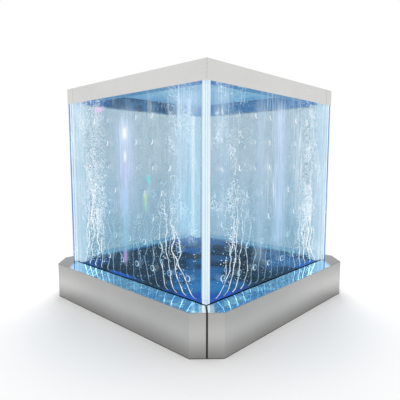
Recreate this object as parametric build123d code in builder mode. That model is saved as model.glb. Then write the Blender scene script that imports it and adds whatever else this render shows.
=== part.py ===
from build123d import *
import math
import os
from dataclasses import dataclass

# Square column of four water tanks, standing in a chamfered plinth under a cap band.
# Millimetres, +Z up, origin on the floor under the column's centre.
# The front wall faces -Y, the right wall faces +X, and the two meet at the near corner.
column_width = 900
overall_height = 1000

# Tanks
tank_thickness = 45
sheet_thickness = 8
tank_joint_gap = 0.4
end_bar_width = 20
air_bar_height = 45
post_diameter = 25
post_sides = 6
post_rows = 7
posts_in_wide_row = 8
narrow_rows = (1, 3)
post_end_margin = 100
first_post_above_plinth = 75
last_post_below_cap = 92
jets_per_tank = 16
jet_end_clearance = 6.25
jet_width = 6
jet_height = 3
jet_sides = 6

# Plinth
plinth_height = 163
ledge_width = 83
plinth_chamfer = 85
skirt_sheet = 2
skirt_foot_flange = 20
ledge_reveal = 0.4
seam_width = 7
gasket_recess = 0.5
gasket_depth = 3

# Base frame, deck and feet
rail_height = 40
tube_wall = 3
bearer_width = 40
frame_fit = 0.2
leg_width = 40
mid_leg_offset = 200
foot_pad_radius = 18
foot_pad_sides = 12
foot_pad_height = 6
foot_stem_radius = 5
foot_gap = 12
deck_thickness = 8
deck_clearance = 0.4

# Cap band and roof
cap_height = 70
cap_sheet = 2
cap_clearance = 0.5
roof_thickness = 4
roof_drop = 12
roof_shelf_width = 14
roof_clearance = 0.5

# Corner lights
light_leg = 22
light_lip = 5

# Service door, its hinge and its lock
door_opening_width = 350
door_opening_bottom = 22
door_opening_height = 123
door_gap = 1.5
door_return_depth = 10
door_return_thickness = 1.5
hinge_barrel_radius = 4
hinge_gap = 0.5
hinge_length = 80
hinge_leaf_width = 20
hinge_leaf_thickness = 2
hinge_knuckles = 3
knuckle_gap = 0.3
hinge_pin_radius = 1.5
pin_head_radius = 2.5
pin_head_height = 1
running_clearance = 0.05
lock_inset = 24
lock_body_radius = 9
lock_flange_radius = 11
lock_flange_thickness = 1.5
lock_body_depth = 11
lock_core_radius = 5
lock_fit = 0.1
key_slot_width = 1.6
key_slot_length = 6
key_slot_depth = 4
cam_length = 36
cam_width = 10
cam_thickness = 3
cam_foot_length = 8
moving_gap = 0.4

# Power inlet with its switch, on the rear of the plinth
inlet_offset = 320
inlet_z = 84
inlet_body_width = 28
inlet_body_height = 58
inlet_body_depth = 30
inlet_flange_margin = 4
inlet_flange_thickness = 2
inlet_cut_clearance = 0.2
socket_width = 22
socket_height = 17
socket_depth = 20
socket_offset = 14
pin_length = 12
pin_width = 4
pin_thickness = 2
pin_pitch = 7
switch_width = 21
switch_height = 14
switch_depth = 14
switch_offset = 16
rocker_clearance = 0.5
rocker_tilt = 7
rocker_rise = 2
rocker_pivot_depth = 5
trunnion_radius = 1.5
trunnion_length = 2

# Air pump, valve block, hoses and drain
tray_level = 6
tray_sheet = 2
tray_rim = 20
tray_depth = 310
tray_setback = 10
pump_width = 140
pump_depth = 130
pump_height = 70
pump_x = 80
pump_setback = 170
pump_corner_radius = 12
pump_foot_radius = 9
pump_foot_sides = 8
pump_foot_height = 12
pump_foot_inset = 22
pump_rib_count = 9
pump_rib_width = 4
pump_rib_height = 5
pump_outlet_length = 12
driver_width = 150
driver_depth = 60
driver_height = 35
driver_gap = 10
hose_radius = 4
hose_sides = 8
hose_bend = 30
hose_run_gap = 70
spigot_length = 20
block_length = 160
block_depth = 30
block_height = 30
block_offset = 90
valve_pitch = 40
valve_stem_radius = 3
valve_stem_depth = 18
valve_hub_radius = 6
valve_hub_sides = 8
valve_arm_length = 28
valve_arm_width = 8
valve_arm_thickness = 4
link_inset = 60
drain_x = 120
drain_body_radius = 12
drain_body_sides = 6
drain_body_height = 52
drain_stand_off = 14
drain_tail_radius = 5
drain_tail_length = 16
drain_arm_length = 42
drain_stem_depth = 9
overrun = 1

# Places worked out from the sizes above
half_column = column_width / 2
inner_half = half_column - tank_thickness
water_gap = tank_thickness - 2 * sheet_thickness
tank_bottom = plinth_height - air_bar_height
tank_top = overall_height - cap_sheet
plinth_width = column_width + 2 * ledge_width
plinth_half = plinth_width / 2
rail_bottom = tank_bottom - rail_height
deck_bottom = plinth_height - deck_thickness
leg_bottom = foot_gap + foot_pad_height
cap_bottom = overall_height - cap_height
cap_overhang = cap_clearance + cap_sheet
roof_bottom = overall_height - roof_drop
skirt_inner_y = plinth_half - skirt_sheet
service_level = plinth_height - air_bar_height / 2
hose_level = rail_bottom - block_height / 2
pump_bottom = tray_level + tray_sheet + pump_foot_height
corner_share = 2 - math.sqrt(2)
post_pitch = (column_width - 2 * post_end_margin) / (posts_in_wide_row - 1)
highest_post = cap_bottom - last_post_below_cap
lowest_post = plinth_height + first_post_above_plinth
row_pitch = (highest_post - lowest_post) / (post_rows - 1)
jet_pitch = 2 * (inner_half - end_bar_width - jet_end_clearance) / (jets_per_tank - 1)
inlet_x = -inlet_offset
block_x = -block_offset
pump_y = half_column - pump_setback
driver_y = pump_y - (pump_depth + driver_depth) / 2 - driver_gap
tray_rear_y = half_column - tray_setback
tray_front_y = tray_rear_y - tray_depth
hose_run_y = tray_front_y - hose_run_gap


@dataclass(frozen=True)
class Wall:
    """One side of the square column, with the way each of its ends meets its neighbour."""

    name: str
    turn: float
    left_end: str
    right_end: str

    def along(self):
        """Direction along the wall, left to right seen from outside."""
        return Vector(1, 0, 0).rotate(Axis.Z, self.turn)

    def inward(self):
        """Direction from the outer face into the column."""
        return Vector(0, 1, 0).rotate(Axis.Z, self.turn)

    def plan(self, level):
        """Level plane whose x runs along the wall and whose y runs inwards from its face."""
        place = self.inward() * -half_column + Vector(0, 0, level)
        return Plane(origin=place, x_dir=self.along(), z_dir=(0, 0, 1))

    def face(self, depth):
        """Upright plane at a depth, facing outwards, whose y is the height."""
        place = self.inward() * (depth - half_column)
        return Plane(origin=place, x_dir=self.along(), z_dir=-self.inward())

    def strip(self, near, far, overhang=0):
        """Corners of this wall's plan between two depths, with its own two ends."""
        left_near = wall_end(self.left_end, near, overhang)
        left_far = wall_end(self.left_end, far, overhang)
        right_near = wall_end(self.right_end, near, overhang)
        right_far = wall_end(self.right_end, far, overhang)
        return [(-left_near, near), (right_near, near), (right_far, far), (-left_far, far)]


def wall_end(kind, depth, overhang=0):
    """Distance from a wall's middle to its end at a depth below its outer face."""
    ends = {
        "mitre": half_column - depth - tank_joint_gap / 2,
        "butt": half_column - tank_thickness - overhang - tank_joint_gap,
        "full": half_column + overhang,
    }
    return ends[kind]


def mitred_strip(near, far):
    """Corners of a strip between two depths whose ends are both mitred."""
    near_end = wall_end("mitre", near)
    far_end = wall_end("mitre", far)
    return [(-near_end, near), (near_end, near), (far_end, far), (-far_end, far)]


def save(piece, name):
    """Label a finished piece and write it under its own name."""
    piece.part.label = name
    export_step(piece.part, f"parts/{name}.step")


WALLS = (
    Wall("front", 0, "butt", "mitre"),
    Wall("right", 90, "mitre", "butt"),
    Wall("rear", 180, "full", "mitre"),
    Wall("left", 270, "mitre", "full"),
)
rear_wall = WALLS[2]
valve_order = ("left", "front", "right", "rear")
valve_x = {
    name: block_x + (place - (len(valve_order) - 1) / 2) * valve_pitch
    for place, name in enumerate(valve_order)
}
spigot_places = {
    "front": valve_x["front"],
    "right": hose_run_y,
    "rear": -valve_x["rear"],
    "left": -hose_run_y,
}

os.makedirs("parts", exist_ok=True)


# Water tanks: two clear sheets, end bars, air bar with its jets, and spacer posts
def post_places():
    """Places of a tank's spacer posts: rows of equal pitch, the narrow ones set over by half."""
    places = []
    for row in range(post_rows):
        count = posts_in_wide_row - 1 if row in narrow_rows else posts_in_wide_row
        level = lowest_post + row * row_pitch
        for column in range(count):
            places.append(((column - (count - 1) / 2) * post_pitch, level))
    return places


def jet_places():
    """Places of a tank's air jets, in one row along the middle of the water gap."""
    middle = (jets_per_tank - 1) / 2
    return [((jet - middle) * jet_pitch, tank_thickness / 2) for jet in range(jets_per_tank)]


def end_bar_outlines(wall):
    """Plans of the two bars that close a tank's ends between its sheets."""
    near = sheet_thickness
    far = tank_thickness - sheet_thickness
    outlines = []
    for side, kind in ((-1, wall.left_end), (1, wall.right_end)):
        near_end = wall_end(kind, near)
        far_end = wall_end(kind, far)
        outlines.append(
            [
                (side * near_end, near),
                (side * (near_end - end_bar_width), near),
                (side * (far_end - end_bar_width), far),
                (side * far_end, far),
            ]
        )
    return outlines


for wall in WALLS:
    with BuildPart() as outer_sheet:
        with BuildSketch(wall.plan(tank_bottom)):
            with BuildLine():
                Polyline(*wall.strip(0, sheet_thickness), close=True)
            make_face()
        extrude(amount=tank_top - tank_bottom)
        if wall is rear_wall:
            with BuildSketch(wall.face(0)):
                with Locations((-drain_x, service_level)):
                    Circle(drain_tail_radius + running_clearance)
            extrude(amount=-sheet_thickness, mode=Mode.SUBTRACT)
    save(outer_sheet, f"{wall.name}_outer_sheet")

    with BuildPart() as inner_sheet:
        with BuildSketch(wall.plan(tank_bottom)):
            with BuildLine():
                Polyline(*wall.strip(tank_thickness - sheet_thickness, tank_thickness), close=True)
            make_face()
        extrude(amount=tank_top - tank_bottom)
        with BuildSketch(wall.face(tank_thickness)):
            with Locations(
                (spigot_places[wall.name], service_level),
                (inner_half - link_inset, service_level),
                (link_inset - inner_half, service_level),
            ):
                RegularPolygon(hose_radius + running_clearance, hose_sides)
        extrude(amount=sheet_thickness, mode=Mode.SUBTRACT)
    save(inner_sheet, f"{wall.name}_inner_sheet")

    with BuildPart() as end_bars:
        for outline in end_bar_outlines(wall):
            with BuildSketch(wall.plan(plinth_height)):
                with BuildLine():
                    Polyline(*outline, close=True)
                make_face()
            extrude(amount=tank_top - plinth_height)
    save(end_bars, f"{wall.name}_end_bars")

    with BuildPart() as air_bar:
        with BuildSketch(wall.plan(tank_bottom)):
            with BuildLine():
                Polyline(
                    *wall.strip(sheet_thickness, tank_thickness - sheet_thickness), close=True
                )
            make_face()
        extrude(amount=air_bar_height)
        with BuildSketch(wall.face(tank_thickness + spigot_length)):
            with Locations((spigot_places[wall.name], service_level)):
                RegularPolygon(hose_radius, hose_sides)
        extrude(amount=spigot_length + sheet_thickness)
    save(air_bar, f"{wall.name}_air_bar")

    with BuildPart() as air_jets:
        with BuildSketch(wall.plan(plinth_height)):
            with Locations(*jet_places()):
                RegularPolygon(jet_width / 2, jet_sides)
        extrude(amount=jet_height)
    save(air_jets, f"{wall.name}_air_jets")

    with BuildPart() as spacer_posts:
        with BuildSketch(wall.face(tank_thickness - sheet_thickness)):
            with Locations(*post_places()):
                RegularPolygon(post_diameter / 2, post_sides, rotation=180 / post_sides)
        extrude(amount=water_gap)
    save(spacer_posts, f"{wall.name}_spacer_posts")

# Lights: a slanted channel with its diffuser, standing in each inner corner of the column
with BuildPart() as corner_lights:
    for wall in WALLS:
        corner = (wall.along() + wall.inward()) * -inner_half + Vector(0, 0, plinth_height)
        with BuildSketch(Plane(origin=corner, x_dir=wall.along(), z_dir=(0, 0, 1))):
            with BuildLine():
                Polyline(
                    (0, 0),
                    (light_leg, 0),
                    (light_leg, light_lip),
                    (light_lip, light_leg),
                    (0, light_leg),
                    close=True,
                )
            make_face()
        extrude(amount=cap_bottom - plinth_height)
save(corner_lights, "corner_lights")

# Cap band: a channel over each tank, with a shelf that carries the roof
for wall in WALLS:
    inner_near = tank_thickness + cap_clearance
    inner_far = inner_near + cap_sheet
    with BuildPart() as cap_channel:
        with BuildSketch(wall.plan(cap_bottom)):
            with BuildLine():
                Polyline(*wall.strip(-cap_overhang, -cap_clearance, cap_overhang), close=True)
            make_face()
        extrude(amount=cap_height)
        with BuildSketch(wall.plan(tank_top)):
            with BuildLine():
                Polyline(*wall.strip(-cap_overhang, inner_far, cap_overhang), close=True)
            make_face()
        extrude(amount=cap_sheet)
        with BuildSketch(wall.plan(cap_bottom)):
            with BuildLine():
                Polyline(*mitred_strip(inner_near, inner_far), close=True)
            make_face()
        extrude(amount=cap_height - cap_sheet)
        with BuildSketch(wall.plan(roof_bottom - cap_sheet)):
            with BuildLine():
                Polyline(*mitred_strip(inner_near, inner_far + roof_shelf_width), close=True)
            make_face()
        extrude(amount=cap_sheet)
        for side, kind in ((-1, wall.left_end), (1, wall.right_end)):
            if kind == "full":
                with BuildSketch(wall.plan(cap_bottom)):
                    with Locations((side * (half_column + cap_overhang), -cap_overhang)):
                        Rectangle(
                            cap_sheet,
                            inner_far + cap_overhang,
                            align=(Align.MIN if side < 0 else Align.MAX, Align.MIN),
                        )
                extrude(amount=cap_height)
    save(cap_channel, f"cap_{wall.name}")

with BuildPart() as roof_panel:
    with BuildSketch(Plane.XY.offset(roof_bottom)):
        Rectangle(
            2 * (inner_half - cap_overhang - roof_clearance),
            2 * (inner_half - cap_overhang - roof_clearance),
        )
    extrude(amount=roof_thickness)
save(roof_panel, "roof_panel")


# Plinth: a folded skirt in two halves, with a gasket in each seam
def build_skirt_shell(inset, sheet):
    """The chamfered skirt all round, with its ledge and its foot flange, in one ring."""
    corner = plinth_chamfer - inset * corner_share
    inner_corner = plinth_chamfer - (inset + sheet) * corner_share
    flange_corner = plinth_chamfer - (inset + skirt_foot_flange) * corner_share
    width = plinth_width - 2 * inset
    aperture = column_width + 2 * ledge_reveal
    with BuildPart() as shell:
        with BuildSketch() as outline:
            Rectangle(width, width)
            chamfer(outline.vertices(), corner)
        extrude(amount=plinth_height - inset)
        with BuildSketch(Plane.XY.offset(sheet)) as hollow:
            Rectangle(width - 2 * sheet, width - 2 * sheet)
            chamfer(hollow.vertices(), inner_corner)
        extrude(amount=plinth_height - inset - 2 * sheet, mode=Mode.SUBTRACT)
        with BuildSketch(Plane.XY.offset(plinth_height - inset)):
            Rectangle(aperture, aperture)
        extrude(amount=-2 * sheet, mode=Mode.SUBTRACT)
        with BuildSketch() as floor_hole:
            Rectangle(width - 2 * skirt_foot_flange, width - 2 * skirt_foot_flange)
            chamfer(floor_hole.vertices(), flange_corner)
        extrude(amount=2 * sheet, mode=Mode.SUBTRACT)
    return shell


seam_plane = Plane.XY.rotated((0, 0, -45))
skirt_shell = build_skirt_shell(0, skirt_sheet)
gasket_shell = build_skirt_shell(gasket_recess, gasket_depth)

with BuildPart() as plinth_skirt_left:
    add(skirt_shell.part)
    with BuildSketch(seam_plane):
        with Locations((0, -seam_width / 2)):
            Rectangle(2 * plinth_width, 2 * plinth_width, align=(Align.CENTER, Align.MIN))
    extrude(amount=plinth_height, mode=Mode.SUBTRACT)
save(plinth_skirt_left, "plinth_skirt_left")

with BuildPart() as plinth_skirt_right:
    add(skirt_shell.part)
    with BuildSketch(seam_plane):
        with Locations((0, seam_width / 2)):
            Rectangle(2 * plinth_width, 2 * plinth_width, align=(Align.CENTER, Align.MAX))
    extrude(amount=plinth_height, mode=Mode.SUBTRACT)
    with BuildSketch(Plane.XZ.offset(-plinth_half)):
        with Locations((0, door_opening_bottom)):
            Rectangle(
                door_opening_width, door_opening_height, align=(Align.CENTER, Align.MIN)
            )
        with Locations((inlet_x, inlet_z)):
            Rectangle(
                inlet_body_width + 2 * inlet_cut_clearance,
                inlet_body_height + 2 * inlet_cut_clearance,
            )
    extrude(amount=skirt_sheet, mode=Mode.SUBTRACT)
save(plinth_skirt_right, "plinth_skirt_right")

for name, side in (("near", 1), ("far", -1)):
    with BuildPart() as seam_gasket:
        add(gasket_shell.part)
        with BuildSketch(seam_plane):
            Rectangle(
                2 * plinth_width,
                seam_width,
                align=(Align.MIN if side > 0 else Align.MAX, Align.CENTER),
            )
        extrude(amount=plinth_height, mode=Mode.INTERSECT)
    save(seam_gasket, f"seam_gasket_{name}")

# Base frame: rails under the tanks, bearers under the deck, and legs on levelling feet
with BuildPart() as base_rails:
    for wall in WALLS:
        with BuildSketch(wall.plan(rail_bottom)):
            with BuildLine():
                Polyline(*wall.strip(0, tank_thickness), close=True)
            make_face()
        extrude(amount=rail_height)
        with BuildSketch(wall.plan(rail_bottom + tube_wall)):
            with BuildLine():
                Polyline(*wall.strip(tube_wall, tank_thickness - tube_wall), close=True)
            make_face()
        extrude(amount=rail_height - 2 * tube_wall, mode=Mode.SUBTRACT)
    bearer_height = deck_bottom - rail_bottom
    for x in (-mid_leg_offset, mid_leg_offset):
        with BuildSketch(Plane.XZ.offset(frame_fit - inner_half)):
            with Locations((x, rail_bottom + bearer_height / 2)):
                Rectangle(bearer_width, bearer_height)
                Rectangle(
                    bearer_width - 2 * tube_wall,
                    bearer_height - 2 * tube_wall,
                    mode=Mode.SUBTRACT,
                )
        extrude(amount=2 * (inner_half - frame_fit))
save(base_rails, "base_rails")

leg_line = half_column - tank_thickness / 2
leg_places = [(x, y) for x in (-leg_line, leg_line) for y in (-leg_line, leg_line)]
leg_places += [(x, y) for x in (-mid_leg_offset, mid_leg_offset) for y in (-leg_line, leg_line)]

with BuildPart() as base_legs:
    with BuildSketch(Plane.XY.offset(leg_bottom)):
        with Locations(*leg_places):
            Rectangle(leg_width, leg_width)
    extrude(amount=rail_bottom - leg_bottom)
save(base_legs, "base_legs")

with BuildPart() as levelling_feet:
    with BuildSketch():
        with Locations(*leg_places):
            RegularPolygon(foot_pad_radius, foot_pad_sides)
    extrude(amount=foot_pad_height)
    with BuildSketch(Plane.XY.offset(foot_pad_height)):
        with Locations(*leg_places):
            RegularPolygon(foot_stem_radius, jet_sides)
    extrude(amount=foot_gap)
save(levelling_feet, "levelling_feet")

with BuildPart() as deck_plate:
    with BuildSketch(Plane.XY.offset(deck_bottom)):
        Rectangle(2 * (inner_half - deck_clearance), 2 * (inner_half - deck_clearance))
    extrude(amount=deck_thickness)
save(deck_plate, "deck_plate")

# Service door in the rear of the plinth, its hinge and its lock
jamb_x = -door_opening_width / 2
hinge_x = jamb_x + hinge_gap + hinge_barrel_radius
hinge_y = plinth_half - hinge_barrel_radius
hinge_bottom = door_opening_bottom + (door_opening_height - hinge_length) / 2
door_left = hinge_x + hinge_barrel_radius + hinge_gap
door_right = door_opening_width / 2 - door_gap
door_bottom = door_opening_bottom + door_gap
door_top = door_opening_bottom + door_opening_height - door_gap
lock_x = door_right - lock_inset
lock_z = (door_bottom + door_top) / 2
knuckle_length = hinge_length / hinge_knuckles

with BuildPart() as access_door:
    with BuildSketch(Plane.XZ.offset(-plinth_half)):
        with Locations((door_left, door_bottom)):
            Rectangle(door_right - door_left, door_top - door_bottom, align=Align.MIN)
        with Locations((lock_x, lock_z)):
            Circle(lock_body_radius + lock_fit, mode=Mode.SUBTRACT)
    extrude(amount=skirt_sheet)
    return_left = door_left + hinge_leaf_width + hinge_leaf_thickness
    with BuildSketch(Plane.XZ.offset(-skirt_inner_y)):
        with Locations((return_left, door_bottom), (return_left, door_top - door_return_thickness)):
            Rectangle(door_right - return_left, door_return_thickness, align=Align.MIN)
        with Locations((door_right - door_return_thickness, door_bottom)):
            Rectangle(door_return_thickness, door_top - door_bottom, align=Align.MIN)
    extrude(amount=door_return_depth)
    with BuildSketch(Plane.XZ.offset(-skirt_inner_y)):
        with Locations((lock_x, lock_z + cam_width / 2 + door_gap)):
            Rectangle(
                2 * lock_inset, cam_length + 2 * door_gap, align=(Align.MIN, Align.MAX)
            )
    extrude(amount=door_return_depth, mode=Mode.SUBTRACT)
save(access_door, "access_door")


def build_hinge_leaf(side, knuckles):
    """A hinge leaf: its plate, and its knuckles on their tabs round the shared pin."""
    plate_edge = hinge_barrel_radius + hinge_gap
    with BuildPart() as leaf:
        with BuildSketch(Plane.XZ.offset(-skirt_inner_y)):
            with Locations((hinge_x + side * plate_edge, hinge_bottom)):
                Rectangle(
                    hinge_leaf_width,
                    hinge_length,
                    align=(Align.MIN if side > 0 else Align.MAX, Align.MIN),
                )
            for knuckle in knuckles:
                with Locations((hinge_x, hinge_bottom + knuckle * knuckle_length)):
                    Rectangle(
                        plate_edge + hinge_leaf_thickness,
                        knuckle_length - knuckle_gap,
                        align=(Align.MIN if side > 0 else Align.MAX, Align.MIN),
                    )
        extrude(amount=hinge_leaf_thickness)
        for knuckle in knuckles:
            with BuildSketch(Plane.XY.offset(hinge_bottom + knuckle * knuckle_length)):
                with Locations((hinge_x, hinge_y)):
                    Circle(hinge_barrel_radius)
            extrude(amount=knuckle_length - knuckle_gap)
        with BuildSketch(Plane.XY.offset(hinge_bottom)):
            with Locations((hinge_x, hinge_y)):
                Circle(hinge_pin_radius + running_clearance)
        extrude(amount=hinge_length, mode=Mode.SUBTRACT)
    return leaf


save(build_hinge_leaf(-1, range(0, hinge_knuckles, 2)), "hinge_leaf_frame")
save(build_hinge_leaf(1, range(1, hinge_knuckles, 2)), "hinge_leaf_door")

with BuildPart() as hinge_pin:
    with BuildSketch(Plane.XY.offset(hinge_bottom)):
        with Locations((hinge_x, hinge_y)):
            Circle(hinge_pin_radius)
    extrude(amount=hinge_length)
    with BuildSketch(Plane.XY.offset(hinge_bottom + hinge_length - knuckle_gap)):
        with Locations((hinge_x, hinge_y)):
            Circle(pin_head_radius)
    extrude(amount=pin_head_height)
save(hinge_pin, "hinge_pin")

with BuildPart() as lock_barrel:
    with BuildSketch(Plane.XZ.offset(-plinth_half)):
        with Locations((lock_x, lock_z)):
            Circle(lock_flange_radius)
    extrude(amount=-lock_flange_thickness)
    with BuildSketch(Plane.XZ.offset(-plinth_half)):
        with Locations((lock_x, lock_z)):
            Circle(lock_body_radius)
    extrude(amount=skirt_sheet + lock_body_depth)
    with BuildSketch(Plane.XZ.offset(-plinth_half - lock_flange_thickness)):
        with Locations((lock_x, lock_z)):
            Circle(lock_core_radius + running_clearance)
    extrude(
        amount=lock_flange_thickness + skirt_sheet + lock_body_depth, mode=Mode.SUBTRACT
    )
save(lock_barrel, "lock_barrel")

cam_y = skirt_inner_y - lock_body_depth - moving_gap
with BuildPart() as lock_cam:
    with BuildSketch(Plane.XZ.offset(-plinth_half - lock_flange_thickness)):
        with Locations((lock_x, lock_z)):
            Circle(lock_core_radius)
    extrude(amount=lock_flange_thickness + plinth_half - cam_y)
    with BuildSketch(Plane.XZ.offset(-cam_y)):
        with Locations((lock_x, lock_z + cam_width / 2)):
            Rectangle(cam_width, cam_length, align=(Align.CENTER, Align.MAX))
    extrude(amount=cam_thickness)
    with BuildSketch(Plane.XZ.offset(-skirt_inner_y + moving_gap)):
        with Locations((lock_x, lock_z + cam_width / 2 - cam_length)):
            Rectangle(cam_width, cam_foot_length, align=(Align.CENTER, Align.MIN))
    extrude(amount=lock_body_depth)
    with BuildSketch(Plane.XZ.offset(-plinth_half - lock_flange_thickness)):
        with Locations((lock_x, lock_z)):
            Rectangle(key_slot_width, key_slot_length)
    extrude(amount=key_slot_depth, mode=Mode.SUBTRACT)
save(lock_cam, "lock_cam")

# Power inlet: one housing with the mains socket below and the rocker switch above
inlet_face_y = plinth_half + inlet_flange_thickness
socket_z = inlet_z - socket_offset
switch_z = inlet_z + switch_offset
pivot_y = inlet_face_y - rocker_pivot_depth
trunnion_half = switch_width / 2 + trunnion_length

with BuildPart() as power_inlet:
    with BuildSketch(Plane.XZ.offset(-plinth_half)):
        with Locations((inlet_x, inlet_z)):
            Rectangle(
                inlet_body_width + 2 * inlet_flange_margin,
                inlet_body_height + 2 * inlet_flange_margin,
            )
    extrude(amount=-inlet_flange_thickness)
    with BuildSketch(Plane.XZ.offset(-plinth_half)):
        with Locations((inlet_x, inlet_z)):
            Rectangle(inlet_body_width, inlet_body_height)
    extrude(amount=inlet_body_depth)
    with BuildSketch(Plane.XZ.offset(-inlet_face_y)) as socket_mouth:
        with Locations((inlet_x, socket_z)):
            Rectangle(socket_width, socket_height)
        chamfer(socket_mouth.vertices().group_by(Axis.Y)[-1], socket_height / 4)
    extrude(amount=socket_depth, mode=Mode.SUBTRACT)
    with BuildSketch(Plane.XZ.offset(-inlet_face_y)):
        with Locations((inlet_x, switch_z)):
            Rectangle(switch_width, switch_height)
    extrude(amount=switch_depth, mode=Mode.SUBTRACT)
    with BuildSketch(Plane.YZ.offset(inlet_x - trunnion_half)):
        with Locations((pivot_y, switch_z)):
            Circle(trunnion_radius + running_clearance)
    extrude(amount=2 * trunnion_half, mode=Mode.SUBTRACT)
save(power_inlet, "power_inlet")

with BuildPart() as inlet_pins:
    with BuildSketch(Plane.XZ.offset(socket_depth - inlet_face_y)):
        with Locations(
            (inlet_x - pin_pitch, socket_z - pin_thickness),
            (inlet_x + pin_pitch, socket_z - pin_thickness),
            (inlet_x, socket_z + pin_thickness),
        ):
            Rectangle(pin_thickness, pin_width)
    extrude(amount=-pin_length)
save(inlet_pins, "inlet_pins")

rocker_half = switch_height / 2 - rocker_clearance
rocker_length = switch_width - 2 * rocker_clearance
pivot_plane = Plane(
    origin=(inlet_x - rocker_length / 2, pivot_y, switch_z),
    x_dir=Vector(0, 0, 1).rotate(Axis.X, rocker_tilt),
    z_dir=(1, 0, 0),
)
with BuildPart() as switch_rocker:
    with BuildSketch(pivot_plane):
        with BuildLine():
            Polyline(
                (-rocker_half + rocker_clearance, -rocker_pivot_depth - rocker_rise),
                (0, -rocker_pivot_depth),
                (rocker_half - rocker_clearance, -rocker_pivot_depth - rocker_rise),
                (rocker_half - rocker_rise, rocker_rise),
                (rocker_rise - rocker_half, rocker_rise),
                close=True,
            )
        make_face()
    extrude(amount=rocker_length)
    with BuildSketch(Plane.YZ.offset(inlet_x - trunnion_half + running_clearance)):
        with Locations((pivot_y, switch_z)):
            Circle(trunnion_radius)
    extrude(amount=2 * (trunnion_half - running_clearance))
save(switch_rocker, "switch_rocker")

# Equipment on its tray behind the door: air pump and light driver
tray_half = mid_leg_offset - leg_width / 2
with BuildPart() as equipment_tray:
    with BuildSketch(Plane.XY.offset(tray_level)):
        with Locations((0, tray_front_y)):
            Rectangle(
                2 * tray_half, tray_rear_y - tray_front_y, align=(Align.CENTER, Align.MIN)
            )
    extrude(amount=tray_sheet + tray_rim)
    with BuildSketch(Plane.XY.offset(tray_level + tray_sheet)):
        with Locations((0, tray_front_y + tray_sheet)):
            Rectangle(
                2 * (tray_half - tray_sheet),
                tray_rear_y - tray_front_y,
                align=(Align.CENTER, Align.MIN),
            )
    extrude(amount=tray_rim, mode=Mode.SUBTRACT)
save(equipment_tray, "equipment_tray")

with BuildPart() as light_driver:
    with BuildSketch(Plane.XY.offset(tray_level + tray_sheet)):
        with Locations((pump_x, driver_y)):
            Rectangle(driver_width, driver_depth)
    extrude(amount=driver_height)
    chamfer(light_driver.faces().sort_by(Axis.Z)[-1].edges(), tray_sheet)
save(light_driver, "light_driver")

pump_top = pump_bottom + pump_height
pump_outlet_x = pump_x - pump_width / 4
with BuildPart() as air_pump:
    with BuildSketch(Plane.XY.offset(pump_bottom)):
        with Locations((pump_x, pump_y)):
            RectangleRounded(pump_width, pump_depth, pump_corner_radius)
    extrude(amount=pump_height)
    with BuildSketch(Plane.XY.offset(pump_top)):
        with Locations((pump_x, pump_y)):
            with GridLocations(0, pump_depth / (pump_rib_count + 1), 1, pump_rib_count):
                Rectangle(pump_width - 2 * pump_corner_radius, pump_rib_width)
    extrude(amount=pump_rib_height)
    with BuildSketch(Plane.XZ.offset(-pump_y - pump_depth / 2)):
        with Locations((pump_outlet_x, hose_level)):
            Circle(hose_radius)
    extrude(amount=-pump_outlet_length)
save(air_pump, "air_pump")

with BuildPart() as pump_feet:
    with BuildSketch(Plane.XY.offset(tray_level + tray_sheet)):
        with Locations((pump_x, pump_y)):
            with GridLocations(
                pump_width - 2 * pump_foot_inset, pump_depth - 2 * pump_foot_inset, 2, 2
            ):
                RegularPolygon(pump_foot_radius, pump_foot_sides)
    extrude(amount=pump_foot_height)
save(pump_feet, "pump_feet")

# Valve block under the rear rail, with one lever for each tank
block_front_y = half_column - tank_thickness / 2 - block_depth / 2
block_rear_y = block_front_y + block_depth
with BuildPart() as valve_block:
    with BuildSketch(Plane.XZ.offset(-block_rear_y)):
        with Locations((block_x, hose_level)):
            Rectangle(block_length, block_height)
    extrude(amount=block_depth)
    with BuildSketch(Plane.XZ.offset(-block_rear_y)):
        with Locations(*[(x, hose_level) for x in valve_x.values()]):
            Circle(valve_stem_radius + running_clearance)
    extrude(amount=valve_stem_depth + moving_gap, mode=Mode.SUBTRACT)
save(valve_block, "valve_block")


def build_lever(x, level, face_y, stem_depth, arm):
    """A quarter-turn lever: a stem in its bore, a round hub, and an arm of width and height."""
    arm_width, arm_height, alignment = arm
    outer_y = face_y + moving_gap + valve_arm_thickness
    with BuildPart() as lever:
        with BuildSketch(Plane.XZ.offset(-outer_y)):
            with Locations((x, level)):
                RegularPolygon(valve_hub_radius, valve_hub_sides)
                Rectangle(arm_width, arm_height, align=alignment)
        extrude(amount=valve_arm_thickness)
        with BuildSketch(Plane.XZ.offset(-outer_y)):
            with Locations((x, level)):
                Circle(valve_stem_radius)
        extrude(amount=valve_arm_thickness + moving_gap + stem_depth)
    return lever


hanging_arm = (valve_arm_width, valve_arm_length, (Align.CENTER, Align.MAX))
level_arm = (drain_arm_length, valve_arm_width, (Align.MIN, Align.CENTER))
for name, x in valve_x.items():
    lever = build_lever(x, hose_level, block_rear_y, valve_stem_depth, hanging_arm)
    save(lever, f"valve_lever_{name}")

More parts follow.
